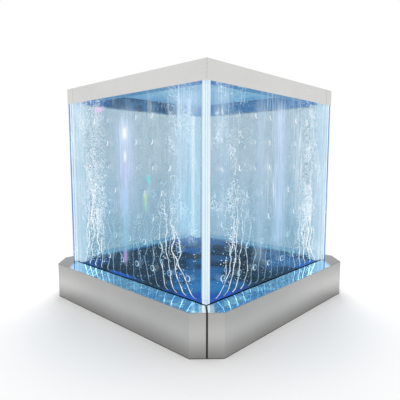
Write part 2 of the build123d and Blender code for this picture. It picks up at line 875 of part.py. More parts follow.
# Drain cock on the rear tank, reached through the service door
drain_y = half_column + drain_stand_off + drain_body_radius
drain_top = service_level + drain_body_radius
drain_stem_z = drain_top - drain_body_height / 2
with BuildPart() as drain_cock:
    with BuildSketch(Plane.XY.offset(drain_top - drain_body_height)):
        with Locations((drain_x, drain_y)):
            RegularPolygon(drain_body_radius, drain_body_sides)
    extrude(amount=drain_body_height)
    with BuildSketch(Plane.XY.offset(drain_top - drain_body_height)):
        with Locations((drain_x, drain_y)):
            Circle(drain_tail_radius)
    extrude(amount=-drain_tail_length)
    with BuildSketch(Plane.XZ.offset(-drain_y)):
        with Locations((drain_x, service_level)):
            Circle(drain_tail_radius)
    extrude(amount=drain_y - half_column + sheet_thickness)
    with BuildSketch(Plane.XZ.offset(-drain_y - drain_body_radius)):
        with Locations((drain_x, drain_stem_z)):
            Rectangle(2 * valve_hub_radius, 2 * valve_hub_radius)
    extrude(amount=drain_body_radius)
    with BuildSketch(Plane.XZ.offset(-drain_y - drain_body_radius)):
        with Locations((drain_x, drain_stem_z)):
            Circle(valve_stem_radius + running_clearance)
    extrude(amount=drain_stem_depth + moving_gap, mode=Mode.SUBTRACT)
save(drain_cock, "drain_cock")
save(
    build_lever(
        drain_x, drain_stem_z, drain_y + drain_body_radius, drain_stem_depth, level_arm
    ),
    "drain_lever",
)


# Hoses from the valve block to each tank, and from the pump to the block
def rise_to_tank(wall):
    """The last points of a hose: under its tank's spigot, up beside it, and into its end."""
    tip_plane = wall.face(tank_thickness + spigot_length)
    tip = tip_plane.from_local_coords((spigot_places[wall.name], service_level, 0))
    turn = tip + wall.inward() * (hose_bend + overrun)
    return [Vector(turn.X, turn.Y, hose_level), turn, tip]


def hose_routes():
    """The corner points of every hose, each from its valve or the pump to its far end."""
    routes = []
    for wall in WALLS:
        x = valve_x[wall.name]
        start = Vector(x, block_front_y, hose_level)
        rise = rise_to_tank(wall)
        if wall.name in ("left", "right"):
            routes.append([start, Vector(x, rise[0].Y, hose_level), *rise])
        else:
            routes.append([start, *rise])
    pump_tip_y = pump_y + pump_depth / 2 + pump_outlet_length
    inlet_y = (block_front_y + block_rear_y) / 2
    routes.append(
        [
            Vector(pump_outlet_x, pump_tip_y, hose_level),
            Vector(pump_outlet_x, inlet_y, hose_level),
            Vector(block_x + block_length / 2, inlet_y, hose_level),
        ]
    )
    return routes


with BuildPart() as air_hoses:
    for route in hose_routes():
        with BuildLine() as hose_path:
            FilletPolyline(*route, radius=hose_bend)
        with BuildSketch(Plane(origin=hose_path.line @ 0, z_dir=hose_path.line % 0)):
            RegularPolygon(hose_radius, hose_sides)
        sweep()
save(air_hoses, "air_hoses")

# Link pipes that join neighbouring tanks round each inner corner
with BuildPart() as link_pipes:
    for wall in WALLS:
        corner = (wall.along() + wall.inward()) * -inner_half + Vector(0, 0, service_level)
        first_mouth = corner + wall.along() * link_inset
        second_mouth = corner + wall.inward() * link_inset
        with BuildLine() as link_path:
            Line(first_mouth - wall.inward() * sheet_thickness, first_mouth)
            TangentArc(first_mouth, second_mouth, tangent=wall.inward())
            Line(second_mouth, second_mouth - wall.along() * sheet_thickness)
        with BuildSketch(Plane(origin=link_path.line @ 0, z_dir=link_path.line % 0)):
            RegularPolygon(hose_radius, hose_sides)
        sweep()
save(link_pipes, "link_pipes")
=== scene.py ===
import logging
import math
import random
from dataclasses import dataclass, field
from enum import Enum
from functools import partial, reduce
from typing import Callable, NamedTuple, Sequence

import bpy
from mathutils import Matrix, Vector


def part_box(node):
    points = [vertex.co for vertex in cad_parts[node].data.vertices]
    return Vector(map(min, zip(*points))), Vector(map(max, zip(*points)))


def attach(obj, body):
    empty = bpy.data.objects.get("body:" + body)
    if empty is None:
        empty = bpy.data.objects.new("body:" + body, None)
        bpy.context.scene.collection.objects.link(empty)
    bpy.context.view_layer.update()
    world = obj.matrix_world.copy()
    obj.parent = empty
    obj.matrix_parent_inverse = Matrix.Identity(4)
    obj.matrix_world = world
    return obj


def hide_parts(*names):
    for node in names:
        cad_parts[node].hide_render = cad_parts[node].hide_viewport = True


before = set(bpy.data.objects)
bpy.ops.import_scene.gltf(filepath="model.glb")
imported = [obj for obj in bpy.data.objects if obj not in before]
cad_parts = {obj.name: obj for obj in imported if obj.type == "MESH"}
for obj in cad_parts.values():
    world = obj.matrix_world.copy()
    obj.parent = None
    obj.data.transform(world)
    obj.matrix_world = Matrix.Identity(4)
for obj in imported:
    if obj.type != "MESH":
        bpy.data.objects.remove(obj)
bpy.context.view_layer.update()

LOG = logging.getLogger("bubble_column")
TAU = 2 * math.pi
MM = 0.001
NOWHERE = 10.0
FACES_THAT_WAY = 0.9
ROOT_BODY = "root"

Socket = bpy.types.NodeSocket
Node = bpy.types.Node
Tree = bpy.types.NodeTree
Piece = bpy.types.Object
Colour = tuple[float, float, float]
Feed = Socket | float | Sequence[float]
BLACK: Colour = (0.0, 0.0, 0.0)
ALONG_X, ALONG_Y, UP = (1, 0, 0), (0, 1, 0), (0, 0, 1)
NEARWARD, SIDEWARD = (1, -1, 0), (1, 1, 0)


class Side(Enum):
    """The four walls, each with its direction along the wall, left to right seen from outside."""

    FRONT = (1, 0)
    RIGHT = (0, 1)
    REAR = (-1, 0)
    LEFT = (0, -1)

    @property
    def label(self) -> str:
        """Name that the wall's nodes start with."""
        return self.name.lower()

    @property
    def along(self) -> Vector:
        """Direction along the wall."""
        return Vector((*self.value, 0))

    @property
    def inward(self) -> Vector:
        """Direction from the outer face into the column."""
        x, y = self.value
        return Vector((-y, x, 0))

    @property
    def turn(self) -> float:
        """Turn about Z that brings the X axis along the wall."""
        return math.atan2(self.along.y, self.along.x)


class WallEnd(Enum):
    """How a tank's end meets its neighbour at the corner."""

    MITRE = "mitre"
    BUTT = "butt"
    FULL = "full"


ENDS = {
    Side.FRONT: (WallEnd.BUTT, WallEnd.MITRE),
    Side.RIGHT: (WallEnd.MITRE, WallEnd.BUTT),
    Side.REAR: (WallEnd.FULL, WallEnd.MITRE),
    Side.LEFT: (WallEnd.MITRE, WallEnd.FULL),
}


# Wiring of materials
class Graph:
    """A node tree while it is wired, with one short call for each kind of node."""

    def __init__(self, tree: Tree) -> None:
        """Hold the material's or the group's tree."""
        self.tree = tree

    def add(self, kind: str, **settings: object) -> Node:
        """Add a node.

        Args:
            kind: The node's type name.
            settings: Its properties.

        Returns:
            The new node.
        """
        node = self.tree.nodes.new(kind)
        for name, value in settings.items():
            setattr(node, name, value)
        return node

    def feed(self, socket: Socket, value: Feed) -> None:
        """Link a socket to an input, or set the input's own value.

        Args:
            socket: The input.
            value: A socket to link, or a plain value.
        """
        if isinstance(value, Socket):
            self.tree.links.new(value, socket)
        else:
            socket.default_value = value

    def put(self, node: Node, **sockets: Feed) -> Node:
        """Set or link a node's inputs by name.

        Args:
            node: The node.
            sockets: Inputs, with spaces in their names written as underscores.

        Returns:
            The node.
        """
        for name, value in sockets.items():
            self.feed(node.inputs[name.replace("_", " ")], value)
        return node

    def fill(self, node: Node, *values: Feed) -> Node:
        """Set or link a node's first inputs in order.

        Args:
            node: The node.
            values: A value for each input.

        Returns:
            The node.
        """
        for socket, value in zip(node.inputs, values):
            self.feed(socket, value)
        return node

    def maths(self, operation: str, *values: Feed) -> Socket:
        """Result of one Math node, with its operation in Blender's words."""
        return self.fill(self.add("ShaderNodeMath", operation=operation), *values).outputs[0]

    def vector(self, operation: str, *values: Feed) -> Socket:
        """Result of one Vector Math node, which is a number for the operations that give one."""
        node = self.fill(self.add("ShaderNodeVectorMath", operation=operation), *values)
        return node.outputs[int(operation in ("DOT_PRODUCT", "DISTANCE", "LENGTH"))]

    def sum(self, *values: Feed) -> Socket:
        """Sum of several sockets or numbers."""
        return reduce(partial(self.maths, "ADD"), values)

    def product(self, *values: Feed) -> Socket:
        """Product of several sockets or numbers."""
        return reduce(partial(self.maths, "MULTIPLY"), values)

    def span(
        self, value: Feed, start: float, end: float, low: float = 0.0, high: float = 1.0
    ) -> Socket:
        """Smooth step of a value from one level to another.

        Args:
            value: What is mapped.
            start: Value at which the step begins.
            end: Value at which it ends; it may be below start.
            low: Result before the step.
            high: Result after it.

        Returns:
            The mapped value.
        """
        if start > end:
            start, end, low, high = end, start, high, low
        node = self.add("ShaderNodeMapRange", interpolation_type="SMOOTHSTEP")
        return self.fill(node, value, start, end, low, high).outputs[0]

    def between(self, mask: Feed, low: float, high: float) -> Socket:
        """A value that goes from one level to another as a mask goes from 0 to 1."""
        return self.span(mask, 0.0, 1.0, low, high)

    def hump(self, value: Feed, centre: float, width: float) -> Socket:
        """A smooth bump of height 1 at a centre, which falls to 0 at one width to each side."""
        distance = self.maths("ABSOLUTE", self.maths("SUBTRACT", value, centre))
        return self.span(distance, width, 0.0)

    def mix(self, factor: Feed, first: Feed, second: Feed) -> Socket:
        """Mix of two colours.

        Args:
            factor: Share of the second colour.
            first: First colour.
            second: Second colour.

        Returns:
            The mixed colour.
        """
        node = self.add("ShaderNodeMix", data_type="RGBA")
        self.feed(node.inputs[0], factor)
        for slot, item in ((6, first), (7, second)):
            self.feed(node.inputs[slot], rgba(item) if isinstance(item, tuple) else item)
        return node.outputs[2]

    def front_face(self) -> Socket:
        """1 where a surface is seen from its outer side, 0 from within the piece."""
        return self.maths("SUBTRACT", 1.0, self.add("ShaderNodeNewGeometry").outputs["Backfacing"])

    def place(self) -> Socket:
        """The point's Object coordinates, in metres in the shared frame."""
        return self.add("ShaderNodeTexCoord").outputs["Object"]

    def level(self) -> Socket:
        """The point's height."""
        return self.axis(self.place(), UP)

    def axis(self, vector: Feed, direction: Sequence[float]) -> Socket:
        """Length of a vector along a direction."""
        return self.vector("DOT_PRODUCT", vector, direction)

    def reaches(self, place: Feed) -> list[Socket]:
        """A point's two distances from the column's axis, along X and along Y."""
        return [self.maths("ABSOLUTE", self.axis(place, way)) for way in (ALONG_X, ALONG_Y)]

    def stretched(self, vector: Feed, scale: Sequence[float]) -> Socket:
        """A vector with its three axes scaled."""
        node = self.add("ShaderNodeMapping", vector_type="POINT")
        return self.put(node, Vector=vector, Scale=scale).outputs[0]

    def noise(
        self, vector: Feed, scale: Feed, detail: float = 2.0, roughness: float = 0.5
    ) -> Socket:
        """Noise from 0 to 1, of one fineness, with a number of finer octaves and their weight."""
        shape = {"Scale": scale, "Detail": detail, "Roughness": roughness}
        return self.put(self.add("ShaderNodeTexNoise"), Vector=vector, **shape).outputs["Fac"]

    def bump(self, height: Feed, distance: float, strength: Feed) -> Socket:
        """Normal of a surface with a pattern of a real height, of which a share shows."""
        shape = {"Strength": strength, "Distance": distance, "Height": height}
        return self.put(self.add("ShaderNodeBump"), **shape).outputs[0]

    def group(self, tree: Tree, **inputs: Feed) -> Node:
        """Place a shared group and set or link its inputs."""
        return self.put(self.add("ShaderNodeGroup", node_tree=tree), **inputs)


def rgba(colour: Sequence[float]) -> tuple[float, ...]:
    """A colour with full alpha."""
    return (*colour[:3], 1.0)


def square_reach(graph: Graph, place: Feed) -> Socket:
    """Half the width of the square, about the column's axis, that a point lies on."""
    return graph.maths("MAXIMUM", *graph.reaches(place))


def corner_reach(graph: Graph, place: Feed) -> Socket:
    """How far along its side a point lies: the lesser of its two distances from the axis."""
    return graph.maths("MINIMUM", *graph.reaches(place))


def corner_nearness(graph: Graph, place: Feed, reach: float) -> Socket:
    """How near a point is to the nearest of the column's four lit corners.

    Args:
        graph: The material's graph.
        place: The point's Object coordinates.
        reach: Distance over which the light fades out, in metres.

    Returns:
        1 in a corner, 0 beyond its reach.
    """
    gaps = [graph.maths("SUBTRACT", INNER_HALF, far) for far in graph.reaches(place)]
    square = graph.sum(*(graph.product(gap, gap) for gap in gaps))
    return graph.span(graph.maths("SQRT", square), reach, 0.0)


@dataclass(frozen=True)
class Pattern:
    """A cloudy pattern: noise of one fineness, cut softly between two of its levels."""

    fineness: float
    start: float = 0.0
    end: float = 1.0
    low: float = 0.0
    high: float = 1.0
    detail: float = 2.0
    roughness: float = 0.5
    stretch: Sequence[float] = ()

    def raw(self, graph: Graph, place: Feed) -> Socket:
        """The noise before it is cut."""
        where = graph.stretched(place, self.stretch) if self.stretch else place
        return graph.noise(where, self.fineness, self.detail, self.roughness)

    def on(self, graph: Graph, place: Feed) -> Socket:
        """The cut pattern, from its low value to its high one."""
        return graph.span(self.raw(graph, place), self.start, self.end, self.low, self.high)


# Shared groups
FLOAT = "NodeSocketFloat"
VECTOR = "NodeSocketVector"
SCRATCH_DEPTH = 0.2 * MM
TEXTURE_DEPTH = 0.4 * MM
DUST_RISE = 0.14


def new_group(
    name: str, inputs: dict[str, str], outputs: dict[str, str]
) -> tuple[Tree, Graph, Node, Node]:
    """An empty shader group with named sockets.

    Args:
        name: Name of the group.
        inputs: Socket name to socket type.
        outputs: Socket name to socket type.

    Returns:
        The group, its graph, its input node and its output node.
    """
    tree = bpy.data.node_groups.new(name, "ShaderNodeTree")
    for kind, sockets in (("INPUT", inputs), ("OUTPUT", outputs)):
        for socket, socket_type in sockets.items():
            tree.interface.new_socket(name=socket, in_out=kind, socket_type=socket_type)
    graph = Graph(tree)
    return tree, graph, graph.add("NodeGroupInput"), graph.add("NodeGroupOutput")


def make_grain_group() -> Tree:
    """Brushed grain: fine scratches stretched along one direction, and slow hand marks.

    Returns:
        A group with Stretch and Depth inputs, and Scratch, Marks and Normal outputs.
    """
    tree, graph, given, made = new_group(
        "brushed_grain",
        {"Stretch": VECTOR, "Depth": FLOAT},
        {"Scratch": FLOAT, "Marks": FLOAT, "Normal": VECTOR},
    )
    place = graph.place()
    drawn_out = graph.vector("MULTIPLY", place, given.outputs["Stretch"])
    scratch = graph.noise(drawn_out, 1.0, 4.0, 0.6)
    graph.put(
        made,
        Scratch=scratch,
        Marks=graph.noise(place, 3.2, 3.0, 0.55),
        Normal=graph.bump(scratch, SCRATCH_DEPTH, given.outputs["Depth"]),
    )
    return tree


def make_dust_group() -> Tree:
    """Use marks: dust that gathers low down and in patches, and a fine moulded texture.

    Returns:
        A group with Fineness and Depth inputs, and Dust, Patches and Normal outputs.
    """
    tree, graph, given, made = new_group(
        "dust_and_texture",
        {"Fineness": FLOAT, "Depth": FLOAT},
        {"Dust": FLOAT, "Patches": FLOAT, "Normal": VECTOR},
    )
    place = graph.place()
    texture = graph.noise(place, given.outputs["Fineness"], 3.0)
    patches = graph.noise(place, 14.0, 4.0, 0.6)
    low = graph.span(graph.level(), DUST_RISE, 0.0)
    graph.put(
        made,
        Dust=graph.product(low, graph.span(patches, 0.45, 0.7)),
        Patches=patches,
        Normal=graph.bump(texture, TEXTURE_DEPTH, given.outputs["Depth"]),
    )
    return tree


GRAIN = make_grain_group()
DUST = make_dust_group()


# Finishes
@dataclass(frozen=True)
class Finish:
    """A surface finish, made into one material the first time it is asked for."""

    name: str

    def material(self) -> bpy.types.Material:
        """The finish's material.

        Returns:
            The material, made once.
        """
        found = bpy.data.materials.get(self.name)
        if found:
            return found
        made = bpy.data.materials.new(self.name)
        made.use_nodes = True
        self.wire(Graph(made.node_tree), made.node_tree.nodes["Principled BSDF"])
        return made

    def wire(self, graph: Graph, shader: Node) -> None:
        """Wire the finish's own pattern into its shader.

        Args:
            graph: The material's graph.
            shader: The Principled shader.
        """
        raise NotImplementedError


@dataclass(frozen=True)
class LitFinish(Finish):
    """A finish that gives light, and is sampled as a lamp only where it says so."""

    sampled: bool = field(default=False, kw_only=True)

    def material(self) -> bpy.types.Material:
        """The finish's material, with its sampling set.

        Returns:
            The material, made once.
        """
        made = super().material()
        made.cycles.emission_sampling = "AUTO" if self.sampled else "NONE"
        return made


@dataclass(frozen=True)
class LedgeMirror:
    """Painted reflection of the tanks on the polished ledge, from its side corners to the lit ones.
    """

    pale: Colour = (0.42, 0.72, 0.95)
    dull: Colour = (0.28, 0.52, 0.68)
    blue: Colour = (0.11, 0.40, 0.72)
    to_dull: tuple[float, float] = (0.26, 0.44)
    to_blue: tuple[float, float] = (0.52, 0.78)
    patches: Pattern = Pattern(16.0, 0.52, 0.60, 0.0, 0.8, detail=3.0)
    patch_colour: Colour = (0.46, 0.84, 1.0)
    wisp_fineness: float = 26.0
    wisp_width: float = 0.03
    wisp_share: float = 0.6
    wisp_colour: Colour = (0.62, 0.90, 1.0)
    corner_start: tuple[float, float] = (0.86, 0.90)
    corner_width: tuple[float, float] = (0.045, 0.030)
    corner_colour: Colour = (0.95, 1.0, 1.0)

    def colour(self, graph: Graph) -> Socket:
        """The painted reflection's colour.

        Args:
            graph: The material's graph.

        Returns:
            Painted reflection: pale, then dull, then blue, with bright patches, wisps and corners.
        """
        place = graph.place()
        run = graph.maths("ABSOLUTE", graph.axis(place, NEARWARD))
        across = graph.maths("ABSOLUTE", graph.axis(place, SIDEWARD))
        tone = graph.mix(graph.span(run, *self.to_dull), self.pale, self.dull)
        tone = graph.mix(graph.span(run, *self.to_blue), tone, self.blue)
        tone = graph.mix(self.patches.on(graph, place), tone, self.patch_colour)
        wisps = graph.hump(graph.noise(place, self.wisp_fineness), 0.5, self.wisp_width)
        tone = graph.mix(graph.product(wisps, self.wisp_share), tone, self.wisp_colour)
        along = graph.span(run, *self.corner_start)
        corner = graph.product(along, graph.span(across, *self.corner_width))
        return graph.mix(corner, tone, self.corner_colour)


@dataclass(frozen=True)
class Steel(Finish):
    """Brushed or polished sheet metal, with its grain along the sheet."""

    tone: float = 0.6
    roughness: float = 0.3
    stretch: Sequence[float] = (6.0, 6.0, 900.0)
    depth: float = 0.25
    # Painted shade: how much darker the sheet is painted towards its foot and head, and where.
    foot_tone: float = 1.0
    head_tone: float = 1.0
    foot_rise: float = 0.09
    head_rise: tuple[float, float] = (0.08, 0.16)
    mirror_above: float = NOWHERE
    mirror_step: float = 0.4 * MM
    mirror_roughness: float = 0.03
    mirror_grey: Colour = (0.160, 0.174, 0.190)
    # Painted reflection tint of the ledge.
    mirror: LedgeMirror = LedgeMirror()
    # Painted shade line along the fold under a ledge, painted shadow band at its foot, and their
    # tone.
    edge_drop: float = 1 * MM
    edge_width: float = 1.6 * MM
    hem: tuple[float, float] = (5 * MM, 2 * MM)
    line_tone: float = 0.45

    def wire(self, graph: Graph, shader: Node) -> None:
        """Grain in the roughness and normal, and a polished upper ledge with a painted reflection
        tint.

        Args:
            graph: The material's graph.
            shader: The Principled shader.
        """
        grain = graph.group(GRAIN, Stretch=self.stretch, Depth=self.depth)
        scratch = grain.outputs["Scratch"]
        ledge = graph.span(graph.level(), self.mirror_above, self.mirror_above + self.mirror_step)
        rough = graph.span(scratch, 0.2, 0.8, 0.85 * self.roughness, 1.15 * self.roughness)
        brushed_share = graph.between(ledge, 1.0, 0.0)
        # The ledge mirrors for real; its colour adds a painted reflection of the lit tanks and
        # corners.
        polished = graph.mix(self.beside_tanks(graph), self.mirror_grey, self.mirror.colour(graph))
        graph.put(
            shader,
            Base_Color=graph.mix(ledge, self.brushed(graph, grain), polished),
            Metallic=1.0,
            Roughness=graph.sum(
                graph.product(rough, brushed_share), graph.product(ledge, self.mirror_roughness)
            ),
            Normal=grain.outputs["Normal"],
        )

    def brushed(self, graph: Graph, grain: Node) -> Socket:
        """Colour of the brushed sheet, with painted shade.

        Args:
            graph: The material's graph.
            grain: The brushed grain.

        Returns:
            The metal's tone, with painted shade at its foot and head and along the edges of a
            ledged sheet.
        """
        level = graph.level()
        # Painted shade, darker towards the foot and the head.
        foot = graph.span(level, 0.0, self.foot_rise, self.foot_tone, 1.0)
        head = graph.span(level, *self.head_rise, 1.0, self.head_tone)
        marks = graph.span(grain.outputs["Marks"], 0.3, 0.7, 0.965, 1.03)
        lines = graph.span(grain.outputs["Scratch"], 0.3, 0.7, 0.975, 1.02)
        shade = graph.product(foot, head, marks, lines)
        if self.mirror_above < NOWHERE:
            # Painted shade line at the fold under the ledge, and a painted shadow band along the
            # foot.
            edge = graph.hump(level, self.mirror_above - self.edge_drop, self.edge_width)
            line = graph.maths("MAXIMUM", edge, graph.span(level, *self.hem))
            shade = graph.product(shade, graph.between(line, 1.0, self.line_tone))
        return graph.mix(shade, BLACK, (self.tone, self.tone * 0.995, self.tone * 0.98))

    def beside_tanks(self, graph: Graph) -> Socket:
        """Painted reflection's share: 1 on the ledge before a tank or at a lit corner, 0 at the two
        unlit corners.
        """
        diagonal = graph.maths("ABSOLUTE", graph.axis(graph.place(), SIDEWARD))
        return graph.span(diagonal, 2 * HALF - 10 * MM, 2 * HALF - 50 * MM)


@dataclass(frozen=True)
class CapSteel(Steel):
    """The cap's brushed steel with its joint lines, and the dark blue liner of its inner side,
    painted glowing.
    """

    liner_half: float = 0.4
    seam_place: float = 0.4
    joint_width: float = 2.2 * MM
    mitre_width: float = 2.4 * MM
    joint_share: float = 0.45
    joint_colour: Colour = (0.1, 0.1, 0.1)
    liner_base: Colour = (0.01, 0.03, 0.06)
    # Painted light: the liner's glow colours, and its painted corner light and patches below.
    liner: Colour = (0.010, 0.055, 0.140)
    rear_liner: Colour = (0.050, 0.190, 0.400)
    outer_liner: Colour = (0.130, 0.340, 0.560)
    patches: Pattern = Pattern(16.0, 0.40, 0.66, detail=4.0, roughness=0.65, stretch=(1, 1, 2))
    patch_share: float = 0.5
    patch_colour: Colour = (0.10, 0.34, 0.62)
    corner_fade: float = 0.24
    corner_colour: Colour = (0.03, 0.20, 0.55)

    def joint_lines(self, graph: Graph, place: Feed) -> Socket:
        """Dark lines where the cap's strips meet: two butt joints and the two mitres.

        Args:
            graph: The material's graph.
            place: The point's Object coordinates.

        Returns:
            1 on a line.
        """
        x, y = graph.axis(place, ALONG_X), graph.axis(place, ALONG_Y)
        on_front = graph.span(y, -self.liner_half, -self.liner_half - 2 * MM)
        on_right = graph.span(x, self.liner_half, self.liner_half + 2 * MM)
        front_joint = graph.product(graph.hump(x, -self.seam_place, self.joint_width), on_front)
        right_joint = graph.product(graph.hump(y, self.seam_place, self.joint_width), on_right)
        mitre = graph.hump(graph.sum(x, y), 0.0, self.mitre_width)
        return graph.maths("MINIMUM", graph.sum(front_joint, right_joint, mitre), 1.0)

    def lining(self, graph: Graph, place: Feed, reach: Feed) -> Socket:
        """Painted glow of the liner.

        Args:
            graph: The material's graph.
            place: The point's Object coordinates.
            reach: Half the width of the square that the point lies on.

        Returns:
            Painted light: dark blue, lighter at the rear and on its outer face, in soft patches.
        """
        rear_start, rear_end = self.liner_half - 6 * MM, self.liner_half - 4 * MM
        rear = graph.span(graph.axis(place, ALONG_Y), rear_start, rear_end)
        outward = graph.span(reach, self.liner_half - 0.9 * MM, self.liner_half - 0.4 * MM)
        tone = graph.mix(outward, graph.mix(rear, self.liner, self.rear_liner), self.outer_liner)
        patches = graph.product(self.patches.on(graph, place), self.patch_share)
        return graph.mix(patches, tone, self.patch_colour)

    def wire(self, graph: Graph, shader: Node) -> None:
        """Brushed steel outside, and inside a glossy liner of painted blue light, brightest at the
        corners.

        Args:
            graph: The material's graph.
            shader: The Principled shader.
        """
        super().wire(graph, shader)
        place = graph.place()
        reach = square_reach(graph, place)
        inside = graph.span(reach, self.liner_half + 0.5 * MM, self.liner_half - 0.5 * MM)
        # Painted light: the liner glows, brightest near the corner lights.
        lit = graph.product(inside, corner_nearness(graph, place, self.corner_fade))
        steel = shader.inputs["Base Color"].links[0].from_socket
        joints = graph.product(self.joint_lines(graph, place), self.joint_share)
        glow = graph.mix(inside, BLACK, self.lining(graph, place, reach))
        graph.put(
            shader,
            Base_Color=graph.mix(
                inside, graph.mix(joints, steel, self.joint_colour), self.liner_base
            ),
            Metallic=graph.between(inside, 1.0, 0.0),
            Specular_IOR_Level=0.1,
            Emission_Color=graph.mix(lit, glow, self.corner_colour),
            Emission_Strength=1.0,
        )


@dataclass(frozen=True)
class ClearSheet(Finish):
    """Polished clear acrylic: a faint blue filter with gloss at grazing angles."""

    tint: Colour = (0.890, 0.922, 0.938)
    gloss_index: float = 1.06
    wipes: Pattern = Pattern(9.0, detail=3.0, stretch=(1, 1, 0.3))
    wiped: Colour = (0.80, 0.88, 0.93)
    polished: Colour = (0.95, 0.98, 1.0)

    def wire(self, graph: Graph, shader: Node) -> None:
        """A tinted clear shader, with a Fresnel gloss and faint wipe marks on its outer faces.

        Args:
            graph: The material's graph.
            shader: The Principled shader.
        """
        wipes = self.wipes.raw(graph, graph.place())
        graph.put(
            shader,
            Base_Color=graph.mix(wipes, self.wiped, self.polished),
            Metallic=1.0,
            Roughness=graph.span(wipes, 0.3, 0.7, 0.02, 0.09),
        )
        clear = graph.put(graph.add("ShaderNodeBsdfTransparent"), Color=rgba(self.tint))
        gloss = graph.put(graph.add("ShaderNodeFresnel"), IOR=self.gloss_index)
        share = graph.product(gloss.outputs[0], graph.front_face())
        blend = graph.add("ShaderNodeMixShader")
        graph.fill(blend, share, clear.outputs[0], shader.outputs[0])
        graph.put(graph.tree.nodes["Material Output"], Surface=blend.outputs[0])


@dataclass(frozen=True)
class Glow(LitFinish):
    """A lit edge whose light varies along its height, seen partly through."""

    colour: Colour
    accent: Colour
    clear: float
    clouds: Pattern = Pattern(5.0, 0.3, 0.72, detail=3.0, stretch=(9, 9, 1))

    def wire(self, graph: Graph, shader: Node) -> None:
        """Emission in two colours over a nearly black surface.

        Args:
            graph: The material's graph.
            shader: The Principled shader.
        """
        mask = self.clouds.on(graph, graph.place())
        graph.put(
            shader,
            Base_Color=graph.mix(mask, (0.02, 0.03, 0.04), (0.05, 0.06, 0.07)),
            Emission_Color=graph.mix(mask, self.colour, self.accent),
            Emission_Strength=1.0,
            Roughness=0.2,
            Specular_IOR_Level=0.1,
            Alpha=graph.between(mask, 1 - self.clear, 1 - self.clear / 2),
        )


@dataclass(frozen=True)
class Band:
    """A stretch of a corner piece, from a distance along its side, with its own light."""

    start: float
    colour: Colour
    cover: float


@dataclass(frozen=True)
class Banded(LitFinish):
    """Clear acrylic at a corner, lit in upright bands."""

    bands: Sequence[Band]
    veiled: float = 0.0
    blur: float = 0.8 * MM
    ripple: Pattern = Pattern(24.0, 0.3, 0.7, 0.85, 1.0, stretch=(1, 1, 0.25))
    dim: Colour = (0.40, 0.70, 0.95)
    fine: Pattern = Pattern(120.0, 0.46, 0.62, detail=4.0, roughness=0.65, stretch=(1, 1, 0.10))
    broad: Pattern = Pattern(12.0, detail=4.0, roughness=0.6, stretch=(1, 1, 0.5))
    specks: Pattern = Pattern(170.0, 0.56, 0.66, detail=1.0)
    air_colour: Colour = (0.98, 1.08, 1.14)

    def banded(self, graph: Graph, reach: Feed) -> tuple[Feed, Feed]:
        """Light of the bands.

        Args:
            graph: The material's graph.
            reach: How far along its side a point lies.

        Returns:
            Colour and cover, which change from band to band.
        """
        colour, cover = self.bands[0].colour, self.bands[0].cover
        for band in self.bands[1:]:
            beyond = graph.span(reach, band.start - self.blur, band.start + self.blur)
            colour = graph.mix(beyond, colour, band.colour)
            step = graph.maths("SUBTRACT", band.cover, cover)
            cover = graph.sum(cover, graph.product(beyond, step))
        return colour, cover

    def air(self, graph: Graph, place: Feed) -> Socket:
        """The air of the tank's last streams, seen at its end.

        Args:
            graph: The material's graph.
            place: The point's Object coordinates.

        Returns:
            Strands and specks, from 0 to 1.
        """
        broad = self.broad.raw(graph, place)
        strands = graph.product(self.fine.on(graph, place), graph.span(broad, 0.40, 0.62))
        specks = graph.product(self.specks.on(graph, place), graph.span(broad, 0.44, 0.58))
        return graph.maths("MAXIMUM", strands, specks)

    def wire(self, graph: Graph, shader: Node) -> None:
        """Emission and alpha by band, with a soft ripple and the tank's air over them.

        Args:
            graph: The material's graph.
            shader: The Principled shader.
        """
        place = graph.place()
        ripple = self.ripple.on(graph, place)
        colour, cover = self.banded(graph, corner_reach(graph, place))
        air = graph.product(self.air(graph, place), self.veiled)
        graph.put(
            shader,
            Base_Color=(0.02, 0.03, 0.04, 1.0),
            Emission_Color=graph.mix(ripple, self.dim, graph.mix(air, colour, self.air_colour)),
            Emission_Strength=1.0,
            Specular_IOR_Level=0.05,
            Roughness=0.2,
            Alpha=graph.product(cover, graph.span(ripple, 0.85, 1.0, 0.94, 1.0)),
        )


@dataclass(frozen=True)
class Glint:
    """A soft upright patch of light in a tank, which may change colour with height."""

    along: float
    half_width: float
    low: float
    high: float
    weight: float
    foot: Colour
    head: Colour
    fade: float = 0.3

    def mask(self, graph: Graph, along: Feed, level: Feed) -> Socket:
        """Where the patch shows.

        Args:
            graph: The material's graph.
            along: Distance from the wall's middle.
            level: Height.

        Returns:
            Its weight at the point.
        """
        soft = (self.high - self.low) * self.fade
        above = graph.span(level, self.low, self.low + soft)
        inside = graph.product(above, graph.span(level, self.high, self.high - soft))
        return graph.product(graph.hump(along, self.along, self.half_width), inside, self.weight)

    def tone(self, graph: Graph, level: Feed) -> Socket:
        """Its colour, from foot to head."""
        return graph.mix(graph.span(level, self.low, self.high), self.foot, self.head)


@dataclass(frozen=True)
class Veil:
    """An upright curtain of fine bubbles in a tank."""

    centre: float
    width: float
    weight: float


